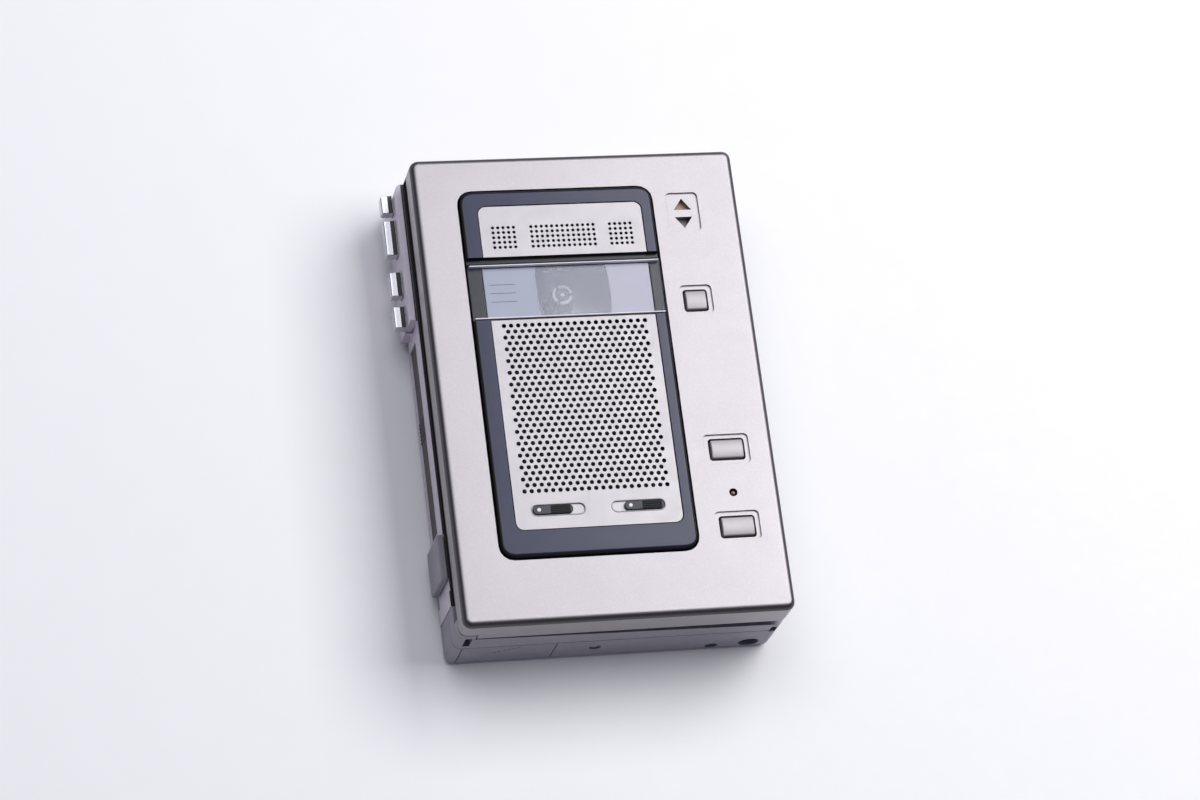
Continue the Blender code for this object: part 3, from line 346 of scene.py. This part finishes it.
def panel_with_painted_light(name, colour, dark, line):
    """The side panel, in a paler copy of the case grey that paints in the light on its side: its front edge beside
    the lid is painted black as the gap's shadow, with one thin paler line as a painted highlight of the lip.
    """
    made = surface(name, colour, 0.42, metallic=0.35, grain=0.014, grain_size=0.24, flake=0.18,
                   wear=shade(colour, 1.5))
    tone = made.shader.inputs["Base Color"].links[0].from_socket
    front = band(made, "Z", *PANEL_GAP_SHADOW_Z)
    shadow = made.maths("MULTIPLY", front, band(made, "X", *PANEL_GAP_SHADOW_X))
    highlight_stripe = made.maths("MULTIPLY", front, band(made, "X", *PANEL_LIP_HIGHLIGHT_X))
    tone = made.mix(shadow, tone, dark)
    made.link(made.mix(highlight_stripe, tone, line), made.shader.inputs["Base Color"])
    return made


def brushed(name, colour, roughness):
    """Sheet metal with a fine grain drawn along Y."""
    made = surface(name, colour, roughness, metallic=1.0, mottle=0.04)
    stretch = made.add("ShaderNodeMapping")
    stretch.inputs["Scale"].default_value = (1.0, 0.03, 1.0)
    made.link(made.place, stretch.inputs["Vector"])
    lines = made.add("ShaderNodeTexNoise")
    lines.inputs["Scale"].default_value = 1.0 / (0.2 * MM)
    made.link(stretch.outputs["Vector"], lines.inputs["Vector"])
    made.bump(lines.outputs["Fac"], 0.01)
    return made


BLACK = (0.012, 0.012, 0.014)
SILVER = (0.325, 0.306, 0.323)
BEZEL_FACE = high("bezel").z
RELEASE_MIDDLE = centre("lid_release").z
LOOKS = {
    # The silver paint carries painted shade on its rounded edges, where the surface rolls away from the front.
    "silver_paint": paint_edge_shade(surface("silver_paint", SILVER, 0.40, metallic=0.8, mottle=0.02, grain=0.014,
                                 grain_size=0.26, flake=0.4, wear=(0.46, 0.44, 0.45), uneven=0.012),
                         SILVER),
    "case_grey": surface("case_grey", (0.27, 0.26, 0.30), 0.44, metallic=0.25, grain=0.014,
                         grain_size=0.24, flake=0.18, wear=(0.46, 0.45, 0.48)),
    # The bezel is black below its face: black plastic, with the shade in its slot and pockets and the dark
    # reflection on its edge chamfer painted in.
    "bezel_grey": black_below_face_and_painted_shade("bezel_grey", (0.027, 0.031, 0.074), 0.22, "Z", BEZEL_FACE - 0.06,
                           BEZEL_FACE + 1.0, BLACK, (0.16, 0.17, 0.21)),
    "aluminium": surface("aluminium", (0.36, 0.345, 0.36), 0.40, metallic=0.6, mottle=0.03, grain=0.008,
                         grain_size=0.18, flake=0.25, wear=(0.60, 0.60, 0.61)),
    "black_plastic": surface("black_plastic", BLACK, 0.42, wear=(0.07, 0.07, 0.075)),
    "dark_grip": surface("dark_grip", (0.055, 0.05, 0.05), 0.58, grain=0.03, wear=(0.12, 0.11, 0.11)),
    "chrome": surface("chrome", (0.62, 0.62, 0.66), 0.28, metallic=1.0, mottle=0.02, grain=0.002,
                      grain_size=0.5, uneven=0.02),
    "steel": brushed("steel", (0.44, 0.44, 0.46), 0.34),
    "brass": surface("brass", (0.58, 0.41, 0.16), 0.28, metallic=1.0, mottle=0.06, grain=0.004),
    "rubber": surface("rubber", (0.02, 0.02, 0.02), 0.78, grain=0.03),
    "clear": clear_sheet("clear", (0.50, 0.56, 0.72), 0.03),
    "white_plastic": surface("white_plastic", (0.74, 0.74, 0.73), 0.36, grain=0.004),
    "card": surface("card", (0.36, 0.40, 0.48), 0.55, mottle=0.04, grain=0.01),
    "orange": surface("orange", (0.40, 0.27, 0.20), 0.5, grain=0.01),
    "red_lamp": surface("red_lamp", (0.05, 0.008, 0.008), 0.14, grain=0.002, coat=0.6),
    "board_green": surface("board_green", (0.05, 0.15, 0.07), 0.45, mottle=0.12, grain=0.02),
    "paper": surface("paper", (0.06, 0.06, 0.06), 0.85, mottle=0.15, grain=0.06, grain_size=0.5),
    "button_grey": surface("button_grey", (0.455, 0.43, 0.44), 0.38, metallic=0.2, mottle=0.03,
                           grain=0.008, flake=0.1, wear=(0.60, 0.58, 0.58)),
}
RELEASE_LOOK = stippled("release_grey", (0.27, 0.26, 0.30), 0.5, "Z", 0.0, RELEASE_MIDDLE, 0.55, 0.12)
SCREEN_LOOK = surface("screen_black", (0.010, 0.010, 0.012), 0.6, mottle=0.3, grain=0.15, grain_size=0.45)
PRINT_LOOK = surface("print_dark", (0.05, 0.055, 0.08), 0.5, mottle=0.1)
DOT_LOOK = surface("dot_white", (0.80, 0.80, 0.80), 0.45)
KNOB_INSERT_LOOK = surface("knob_insert_grey", (0.013, 0.015, 0.026), 0.40, wear=(0.12, 0.12, 0.15))
KNURL_LOOK = surface("knurl_black", (0.006, 0.006, 0.007), 0.6, grain=0.004)
# The side panel's paler grey paints in light on its side, and its front edge carries a painted gap shadow and a
# painted highlight line.
PANEL_PAINTED_LIGHT_LOOK = panel_with_painted_light("panel_grey_painted_light", (0.60, 0.555, 0.63), BLACK, (0.12, 0.115, 0.125))
# The band is a faint pale sheet: painted reflection of the pane over the dark well.
BAND_PAINTED_REFLECTION_LOOK = clear_sheet("window_band_painted_reflection", (0.84, 0.85, 1.0), 0.22)
SPINDLE_LOOK = surface("spindle_smoke", (0.07, 0.07, 0.08), 0.5)
MICROPHONE_LOOK = surface("microphone_felt", (0.010, 0.010, 0.011), 0.8, grain=0.03)
CARD_LOOK = surface("window_card", (0.36, 0.39, 0.475), 0.42, mottle=0.04, grain=0.006)
# The pale part is a pale sheet whose lightness is painted reflection of the pane.
PALE_PAINTED_REFLECTION_LOOK = surface("window_pale_painted_reflection", (0.47, 0.465, 0.55), 0.42, mottle=0.03, grain=0.004)
# Pale strips inside the pane's top and bottom edges: painted highlights of its cut edges.
LENS_EDGE_HIGHLIGHT_LOOK = surface("lens_edge_painted_highlight", (0.74, 0.72, 0.74), 0.25, mottle=0.04, grain=0.004)
NODE_LOOKS = {"lid_release": RELEASE_LOOK, "side_panel": PANEL_PAINTED_LIGHT_LOOK}
NODE_LOOKS |= {node: SPINDLE_LOOK for node in SPINDLES}
NODE_LOOKS |= {node: MICROPHONE_LOOK for node in ("left_microphone", "right_microphone")}


def dress(piece, look):
    piece.data.materials.clear()
    piece.data.materials.append(look.material)


# ---------------------------------------------------------------- making pieces

def keep(piece, body, slot, look=None, replaces=()):
    """File a new piece: its look, the body it moves with, and the CAD node it stands for."""
    dress(piece, look or LOOKS[slot])
    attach(piece, body)
    if replaces:
        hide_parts(*replaces)
    return piece


def new_object(name, data):
    made = bpy.data.objects.new(name, data)
    bpy.context.scene.collection.objects.link(made)
    return made


def from_shape(name, shape):
    bmesh.ops.scale(shape, vec=(MM, MM, MM), verts=shape.verts)
    bmesh.ops.recalc_face_normals(shape, faces=shape.faces)
    mesh = bpy.data.meshes.new(name)
    shape.to_mesh(mesh)
    shape.free()
    mesh.shade_smooth()
    mesh.set_sharp_from_angle(angle=SHARP_ANGLE)
    return new_object(name, mesh)


def flatten(piece):
    """Keep large faces shaded flat beside their rounded edges."""
    change = piece.modifiers.new("flats", "WEIGHTED_NORMAL")
    change.weight = 100
    change.keep_sharp = True
    return piece


def soften(piece, width=EDGE_WIDTH, segments=2):
    """Small rounded edges that catch the light."""
    change = piece.modifiers.new("edges", "BEVEL")
    change.width = width * MM
    change.segments = segments
    change.limit_method = "ANGLE"
    change.angle_limit = SHARP_ANGLE
    return flatten(piece)


def rounded_rect(x0, x1, y0, y1, radius, steps=8):
    corners = ((x1 - radius, y1 - radius, 0), (x0 + radius, y1 - radius, 90),
               (x0 + radius, y0 + radius, 180), (x1 - radius, y0 + radius, 270))
    points = []
    for x, y, start in corners:
        for step in range(steps + 1):
            angle = math.radians(start + 90 * step / steps)
            points.append((x + radius * math.cos(angle), y + radius * math.sin(angle)))
    return points


def plate_outline(x0, x1, y0, y1, radius, end):
    """An outline rounded only at its +Y end, where end is 1, or at its -Y end, where it is -1."""
    middle = (y0 + y1) / 2
    points = [point for point in rounded_rect(x0, x1, y0, y1, radius) if (point[1] - middle) * end > 0]
    return points + ([(x0, y0), (x1, y0)] if end > 0 else [(x1, y1), (x0, y1)])


def circle(x, y, radius, sides=HOLE_SIDES):
    return [(x + radius * math.cos(math.tau * step / sides), y + radius * math.sin(math.tau * step / sides))
            for step in range(sides)]


def pierced_plate(name, outlines, bottom, top, edge=0.05):
    """A flat plate from its outline and its holes, each with a slightly rounded rim."""
    curve = bpy.data.curves.new(name, "CURVE")
    curve.dimensions = "2D"
    curve.fill_mode = "BOTH"
    curve.extrude = ((top - bottom) / 2 - edge) * MM
    curve.bevel_depth = edge * MM
    curve.bevel_resolution = 1
    curve.offset = -edge * MM
    for outline in outlines:
        line = curve.splines.new("POLY")
        line.points.add(len(outline) - 1)
        for knot, (x, y) in zip(line.points, outline):
            knot.co = (x * MM, y * MM, 0.0, 1.0)
        line.use_cyclic_u = True
    drawn = new_object(name + "_outline", curve)
    drawn.location.z = (bottom + top) / 2 * MM
    bpy.context.view_layer.update()
    mesh = bpy.data.meshes.new_from_object(drawn.evaluated_get(bpy.context.evaluated_depsgraph_get()))
    mesh.transform(drawn.matrix_world)
    bpy.data.objects.remove(drawn)
    bpy.data.curves.remove(curve)
    shape = bmesh.new()
    shape.from_mesh(mesh)
    bmesh.ops.remove_doubles(shape, verts=shape.verts, dist=0.001 * MM)
    shape.to_mesh(mesh)
    shape.free()
    mesh.name = name
    for polygon in mesh.polygons:
        polygon.use_smooth = abs(polygon.normal.z) < 0.99
    return new_object(name, mesh)


def refine(node):
    """Carry a CAD part over with welded smooth surfaces and softened edges."""
    source = frame["nodes"][node]
    mesh = source.data.copy()
    shape = bmesh.new()
    shape.from_mesh(mesh)
    bmesh.ops.remove_doubles(shape, verts=shape.verts, dist=0.002 * MM)
    bmesh.ops.dissolve_limit(shape, angle_limit=math.radians(0.6), verts=shape.verts, edges=shape.edges)
    shape.to_mesh(mesh)
    shape.free()
    mesh.shade_smooth()
    mesh.set_sharp_from_angle(angle=SHARP_ANGLE)
    piece = new_object(node + "_finished", mesh)
    if node not in NO_EDGES:
        soften(piece)
    return keep(piece, BODY_OF[node], SLOT_OF[node], NODE_LOOKS.get(node), (node,))


# ---------------------------------------------------------------- front plates

def slot_outline(knob, side):
    """A switch slot: the knob's length and its travel to one side, with round ends."""
    x0, x1 = low(knob).x, high(knob).x
    if side > 0:
        x1 += travel(knob)
    else:
        x0 -= travel(knob)
    middle = centre(knob).y
    return rounded_rect(x0 - SLOT_GAP, x1 + SLOT_GAP, middle - SLOT_HALF, middle + SLOT_HALF,
                        SLOT_HALF - 0.05)


def make_speaker_grille():
    """The speaker's plate: staggered rows of holes, two switch slots, and trays under the slots."""
    bottom, top = low("grille_plate"), high("grille_plate")
    row_pitch = GRILLE_PITCH * math.sqrt(3) / 2
    middle_x = (bottom.x + top.x) / 2 + GRILLE_SHIFT
    first_y = top.y - GRILLE_MARGIN
    outlines = [plate_outline(bottom.x, top.x, bottom.y, top.y, PLATE_CORNER, -1)]
    for row in range(GRILLE_ROWS):
        count = GRILLE_LONG_ROW - row % 2
        for column in range(count):
            x = middle_x + (column - (count - 1) / 2) * GRILLE_PITCH
            outlines.append(circle(x, first_y - row * row_pitch, GRILLE_HOLE))
    for knob, side in KNOBS.items():
        outline = slot_outline(knob, side)
        outlines.append(outline)
        make_slot_rim(knob + "_rim", outline, top.z)
        tray = from_shape(knob + "_tray", prism(outline, bottom.z + 0.05, top.z - TRAY_DEPTH))
        keep(tray, "lid", "aluminium")
    plate = pierced_plate("speaker_grille", outlines, top.z - PLATE_SHEET, top.z)
    keep(plate, "lid", "aluminium", replaces=("grille_plate",))
    make_screen("speaker_screen", bottom.x, top.x, SPEAKER_OPENING_END, top.y - SHELF, bottom.z)


def make_screen(name, left, right, lowest, highest, plate_back):
    """A dark cloth stretched behind a perforated plate, inside the bezel's opening."""
    outline = rounded_rect(left + SHELF + 0.2, right - SHELF - 0.2, lowest + 0.2, highest - 0.2, 0.8)
    top = plate_back - SCREEN_DEPTH
    keep(pierced_plate(name, [outline], top - 0.2, top, 0.02), "lid", "black_plastic", SCREEN_LOOK)


def make_slot_rim(name, outline, height):
    """A thin bright lip round a switch slot."""
    curve = bpy.data.curves.new(name, "CURVE")
    curve.dimensions = "3D"
    curve.bevel_depth = RIM_RADIUS * MM
    curve.bevel_resolution = 3
    line = curve.splines.new("POLY")
    line.points.add(len(outline) - 1)
    for knot, (x, y) in zip(line.points, outline):
        knot.co = (x * MM, y * MM, height * MM, 1.0)
    line.use_cyclic_u = True
    keep(new_object(name, curve), "lid", "aluminium")


def make_microphone_grille():
    """The microphones' plate, with three blocks of small holes."""
    bottom, top = low("mic_plate"), high("mic_plate")
    outlines = [plate_outline(bottom.x, top.x, bottom.y, top.y, PLATE_CORNER, 1)]
    for start, columns in zip(MIC_STARTS, MIC_COLUMNS):
        for row in range(MIC_ROWS):
            y = MIC_FIRST_ROW - row * MIC_PITCH
            outlines += [circle(start + column * MIC_PITCH, y, MIC_HOLE, MIC_HOLE_SIDES)
                         for column in range(columns)]
    plate = pierced_plate("microphone_grille", outlines, top.z - PLATE_SHEET, top.z, 0.03)
    keep(plate, "lid", "aluminium", replaces=("mic_plate",))
    make_screen("microphone_screen", bottom.x, top.x, bottom.y + SHELF, top.y - SHELF, bottom.z)


# ---------------------------------------------------------------- controls

def make_button(node):
    """A button with a shallow crown across its short side."""
    lowest, highest = low(node), high(node)
    trim = BUTTON_FLANGE + BUTTON_GAP
    y0, y1, top = lowest.y + trim, highest.y - trim, highest.z
    shape = bmesh.new()
    add_box(shape, lowest.x + trim, highest.x - trim, y0, y1, lowest.z, top)
    across = [edge for edge in shape.edges if abs(edge.verts[0].co.y - edge.verts[1].co.y) > 1.0]
    bmesh.ops.subdivide_edges(shape, edges=across, cuts=11, use_grid_fill=True)
    middle, half = (y0 + y1) / 2, (y1 - y0) / 2
    for vert in shape.verts:
        if vert.co.z > top - 0.01:
            vert.co.z -= BUTTON_CROWN * ((vert.co.y - middle) / half) ** 2
    piece = soften(from_shape(node + "_cap", shape), 0.3, 3)
    keep(piece, BODY_OF[node], "button_grey", replaces=(node,))


def make_knob(node):
    """A slide knob: a dark insert with a light dot at one end, and a cross-cut grip."""
    lowest, highest = low(node), high(node)
    body, middle = BODY_OF[node], centre(node).y
    top = highest.z
    floor = high("grille_plate").z - TRAY_DEPTH + 0.05
    outline = rounded_rect(lowest.x, highest.x, middle - KNOB_HALF, middle + KNOB_HALF, KNOB_HALF - 0.05)
    base = from_shape(node + "_base", prism(outline, floor, top - KNOB_INSERT_DROP))
    keep(soften(base, 0.15), body, "black_plastic", KNOB_INSERT_LOOK, (node,))
    reach = KNOB_HALF - KNURL_INSET
    studs = knurl(centre(node).x + KNURL_START, highest.x - KNURL_END, middle - reach, middle + reach,
                  top - KNOB_INSERT_DROP - 0.1, top)
    keep(soften(from_shape(node + "_knurl", studs), 0.04), body, "black_plastic", KNURL_LOOK)
    spot = circle(lowest.x + DOT_FROM_END, middle, DOT_RADIUS, 24)
    dot = from_shape(node + "_dot", prism(spot, top - 0.5, top - KNOB_INSERT_DROP + 0.04))
    keep(soften(dot, 0.08), body, "white_plastic", DOT_LOOK)


def knurl(x0, x1, y0, y1, base, top):
    """Small square studs in rows, as on a cross-cut grip."""
    shape = bmesh.new()
    columns, rows = max(1, round((x1 - x0) / STUD_PITCH)), max(1, round((y1 - y0) / STUD_PITCH))
    step_x, step_y = (x1 - x0) / columns, (y1 - y0) / rows
    for column in range(columns):
        for row in range(rows):
            left, lower = x0 + column * step_x + STUD_GAP, y0 + row * step_y + STUD_GAP
            add_box(shape, left, left + step_x - 2 * STUD_GAP, lower, lower + step_y - 2 * STUD_GAP,
                    base, top)
    return shape


def make_key(name):
    """One satin metal key with its stem, narrower at its outer end, and a black strip along its front."""
    cap, stem = name + "_key_cap", name + "_key"
    lowest, highest = low(cap), high(cap)
    shape = bmesh.new()
    add_box(shape, lowest.x, KEY_BODY_END, lowest.y, highest.y, lowest.z, highest.z)
    for vert in shape.verts:
        if vert.co.x < lowest.x + 0.01:
            vert.co.y += math.copysign(KEY_TAPER, centre(cap).y - vert.co.y)
    outer = [edge for edge in shape.edges if all(vert.co.x < lowest.x + 0.01 for vert in edge.verts)]
    bmesh.ops.bevel(shape, geom=outer, offset=KEY_ROUND, segments=3, profile=0.5, affect="EDGES")
    add_box(shape, KEY_BODY_END, high(stem).x, low(stem).y, high(stem).y, low(stem).z, high(stem).z)
    keep(soften(from_shape(stem + "_body", shape), 0.1), BODY_OF[cap], "chrome", replaces=(cap, stem))
    black_strip = bmesh.new()
    add_box(black_strip, *KEY_BLACK_STRIP, lowest.y + KEY_TAPER, highest.y - KEY_TAPER, highest.z - 0.3,
            highest.z + 0.04)
    keep(from_shape(stem + "_inlay", black_strip), BODY_OF[cap], "black_plastic")


def add_box(shape, x0, x1, y0, y1, z0, z1):
    made = bmesh.ops.create_cube(shape, size=1.0)["verts"]
    bmesh.ops.scale(shape, vec=(x1 - x0, y1 - y0, z1 - z0), verts=made)
    bmesh.ops.translate(shape, vec=((x0 + x1) / 2, (y0 + y1) / 2, (z0 + z1) / 2), verts=made)


def prism(outline, bottom, top):
    shape = bmesh.new()
    base = shape.faces.new([shape.verts.new((x, y, bottom)) for x, y in outline])
    risen = bmesh.ops.extrude_face_region(shape, geom=[base], use_keep_orig=True)["geom"]
    moved = [item for item in risen if isinstance(item, bmesh.types.BMVert)]
    bmesh.ops.translate(shape, vec=(0, 0, top - bottom), verts=moved)
    return shape


# ---------------------------------------------------------------- window

def make_legend():
    """Three thin plain lines on the card under the window."""
    lowest, highest = low("legend_card"), high("legend_card")
    left, right = (lowest.x + x for x in LEGEND_X)
    bottom, top = (FILM_Z[1] + lift for lift in LEGEND_LIFT)
    shape = bmesh.new()
    for share in LEGEND_SHARES:
        y = lowest.y + share * (highest.y - lowest.y)
        add_box(shape, left, right, y - LEGEND_HALF, y + LEGEND_HALF, bottom, top)
    keep(from_shape("legend_marks", shape), "lid", "black_plastic", PRINT_LOOK)


def bowed(x, y0, y1, bow, steps=10):
    """Points up a line from y0 to y1 that bulges by bow at its middle."""
    return [(x + bow * (1 - (2 * step / steps - 1) ** 2), y0 + (y1 - y0) * step / steps)
            for step in range(steps + 1)]


def make_window_sheets():
    """The film behind the pane: a card, a barrel-shaped faint pale band and a pale part; the band and the pale
    part are painted reflection of the pane over the well.
    """
    y0, y1 = FILM_Y
    left_line = bowed(BAND_X[0], y0, y1, -BAND_BOW[0])
    right_line = bowed(BAND_X[1], y0, y1, BAND_BOW[1])
    card = [(x - 0.02, y) for x, y in left_line] + [(FILM_X[0], y1), (FILM_X[0], y0)]
    pale = [(x + 0.02, y) for x, y in right_line][::-1] + [(FILM_X[1], y0), (FILM_X[1], y1)]
    for name, outline, look in (("window_card", card, CARD_LOOK), ("window_pale_painted_reflection", pale, PALE_PAINTED_REFLECTION_LOOK),
                                ("window_band_painted_reflection", right_line + left_line[::-1], BAND_PAINTED_REFLECTION_LOOK)):
        keep(pierced_plate(name, [outline], *FILM_Z, 0.02), "lid", "card", look)


def make_flag_backing():
    """The grey strip that shows through an arrow when the direction flag isn't under it."""
    lowest, highest = low("direction_flag"), high("direction_flag")
    shape = bmesh.new()
    bottom, top = (lowest.z - depth for depth in FLAG_BACKING_DEPTHS)
    add_box(shape, lowest.x + FLAG_MARGIN, highest.x - FLAG_MARGIN,
            lowest.y - travel("direction_flag"), highest.y - FLAG_MARGIN, bottom, top)
    keep(soften(from_shape("flag_backing", shape), 0.05), "lid", "case_grey")


def make_lens():
    """The clear pane, with pale strips inside its top and bottom edges as painted highlights of the light its cut
    edges gather.
    """
    refine("window_lens")
    lowest, highest = low("window_lens"), high("window_lens")
    x0, x1 = lowest.x + LENS_INSET, highest.x - LENS_INSET
    z0, z1 = lowest.z + 0.1, highest.z - 0.3
    shape = bmesh.new()
    add_box(shape, x0, x1, highest.y - LENS_TOP_EDGE, highest.y - LENS_SKIN, z0, z1)
    add_box(shape, x0, x1, lowest.y + LENS_SKIN, lowest.y + LENS_BOTTOM_EDGE, z0, z1)
    keep(soften(from_shape("lens_edge_highlight_strips", shape), 0.06), "lid", "white_plastic", LENS_EDGE_HIGHLIGHT_LOOK)


def arc(middle, radius, start, sweep, steps=10):
    """Points round part of a circle, with the angles in degrees."""
    angles = [math.radians(start + sweep * step / steps) for step in range(steps + 1)]
    return [(middle.x + radius * math.cos(angle), middle.y + radius * math.sin(angle)) for angle in angles]


def make_hub_ring(spindle):
    """The white end of a spindle: three arcs round a raised centre."""
    hub, top = centre(spindle), high(spindle).z
    inner, outer = RING_RADII
    shape = bmesh.new()
    for start in RING_STARTS:
        rim = arc(hub, outer, start, RING_ARC) + arc(hub, inner, start, RING_ARC)[::-1]
        merge(shape, prism(rim, *(top - depth for depth in RING_DEPTHS)))
    merge(shape, prism(circle(hub.x, hub.y, TIP_RADIUS, 24), *(top - depth for depth in TIP_DEPTHS)))
    keep(soften(from_shape(spindle + "_ring", shape), 0.08), BODY_OF[spindle], "white_plastic", DOT_LOOK)


def merge(shape, other):
    """Add one closed shape to another."""
    spare = bpy.data.meshes.new("spare")
    other.to_mesh(spare)
    other.free()
    shape.from_mesh(spare)
    bpy.data.meshes.remove(spare)


# ---------------------------------------------------------------- stage

def make_stage():
    """A wide pale floor just under the recorder, and a faint even backdrop."""
    floor = new_object("floor", bpy.data.meshes.new("floor"))
    shape = bmesh.new()
    bmesh.ops.create_grid(shape, x_segments=1, y_segments=1, size=FLOOR_HALF)
    shape.to_mesh(floor.data)
    shape.free()
    floor.location.z = -0.05 * MM
    dress(floor, surface("floor_white", (0.93, 0.93, 0.945), 0.6, mottle=0.005, grain=0.0))
    world = bpy.data.worlds.new("studio")
    world.use_nodes = True
    backdrop = world.node_tree.nodes["Background"]
    backdrop.inputs["Color"].default_value = (0.77, 0.77, 1.0, 1.0)
    backdrop.inputs["Strength"].default_value = 0.17
    bpy.context.scene.world = world


def make_softbox(name, place, back, size, energy, colour=(1.0, 1.0, 1.0)):
    """A rectangular softbox whose back points along the given direction."""
    lamp = bpy.data.lights.new(name, "AREA")
    lamp.shape = "RECTANGLE"
    lamp.size, lamp.size_y = size
    lamp.energy = energy
    lamp.color = colour
    made = new_object(name, lamp)
    made.location = place
    made.rotation_euler = Vector(back).to_track_quat("Z", "Y").to_euler()


def make_camera():
    """A long lens above and in front of the bottom left corner."""
    data = bpy.data.cameras.new("camera")
    data.sensor_width = 36.0
    data.lens = CAMERA_LENS
    data.clip_start = 0.01
    data.clip_end = 20.0
    camera = new_object("camera", data)
    camera.location = CAMERA_PLACE
    camera.rotation_euler = [math.radians(angle) for angle in CAMERA_TURN]
    bpy.context.scene.camera = camera
    bpy.context.scene.view_settings.view_transform = "Standard"


def build():
    make_camera()
    make_stage()
    make_softbox("key", KEY_LIGHT_PLACE, STRAIGHT_UP, (1.16, 1.4), 24.5)
    make_softbox("top", TOP_LIGHT_DIRECTION * TOP_LIGHT_DISTANCE, TOP_LIGHT_DIRECTION, (1.2, 1.2), 11.0,
                 (0.96, 0.96, 1.0))
    make_speaker_grille()
    make_microphone_grille()
    for node in BUTTONS:
        make_button(node)
    for node in KNOBS:
        make_knob(node)
    for name in KEYS:
        make_key(name)
    make_legend()
    make_window_sheets()
    make_lens()
    for node in SPINDLES:
        make_hub_ring(node)
    make_flag_backing()
    done = {"grille_plate", "mic_plate", "window_lens", *BUTTONS, *KNOBS}
    done |= {name + end for name in KEYS for end in ("_key", "_key_cap")}
    for node in sorted(frame["nodes"]):
        if node not in done:
            refine(node)


build()
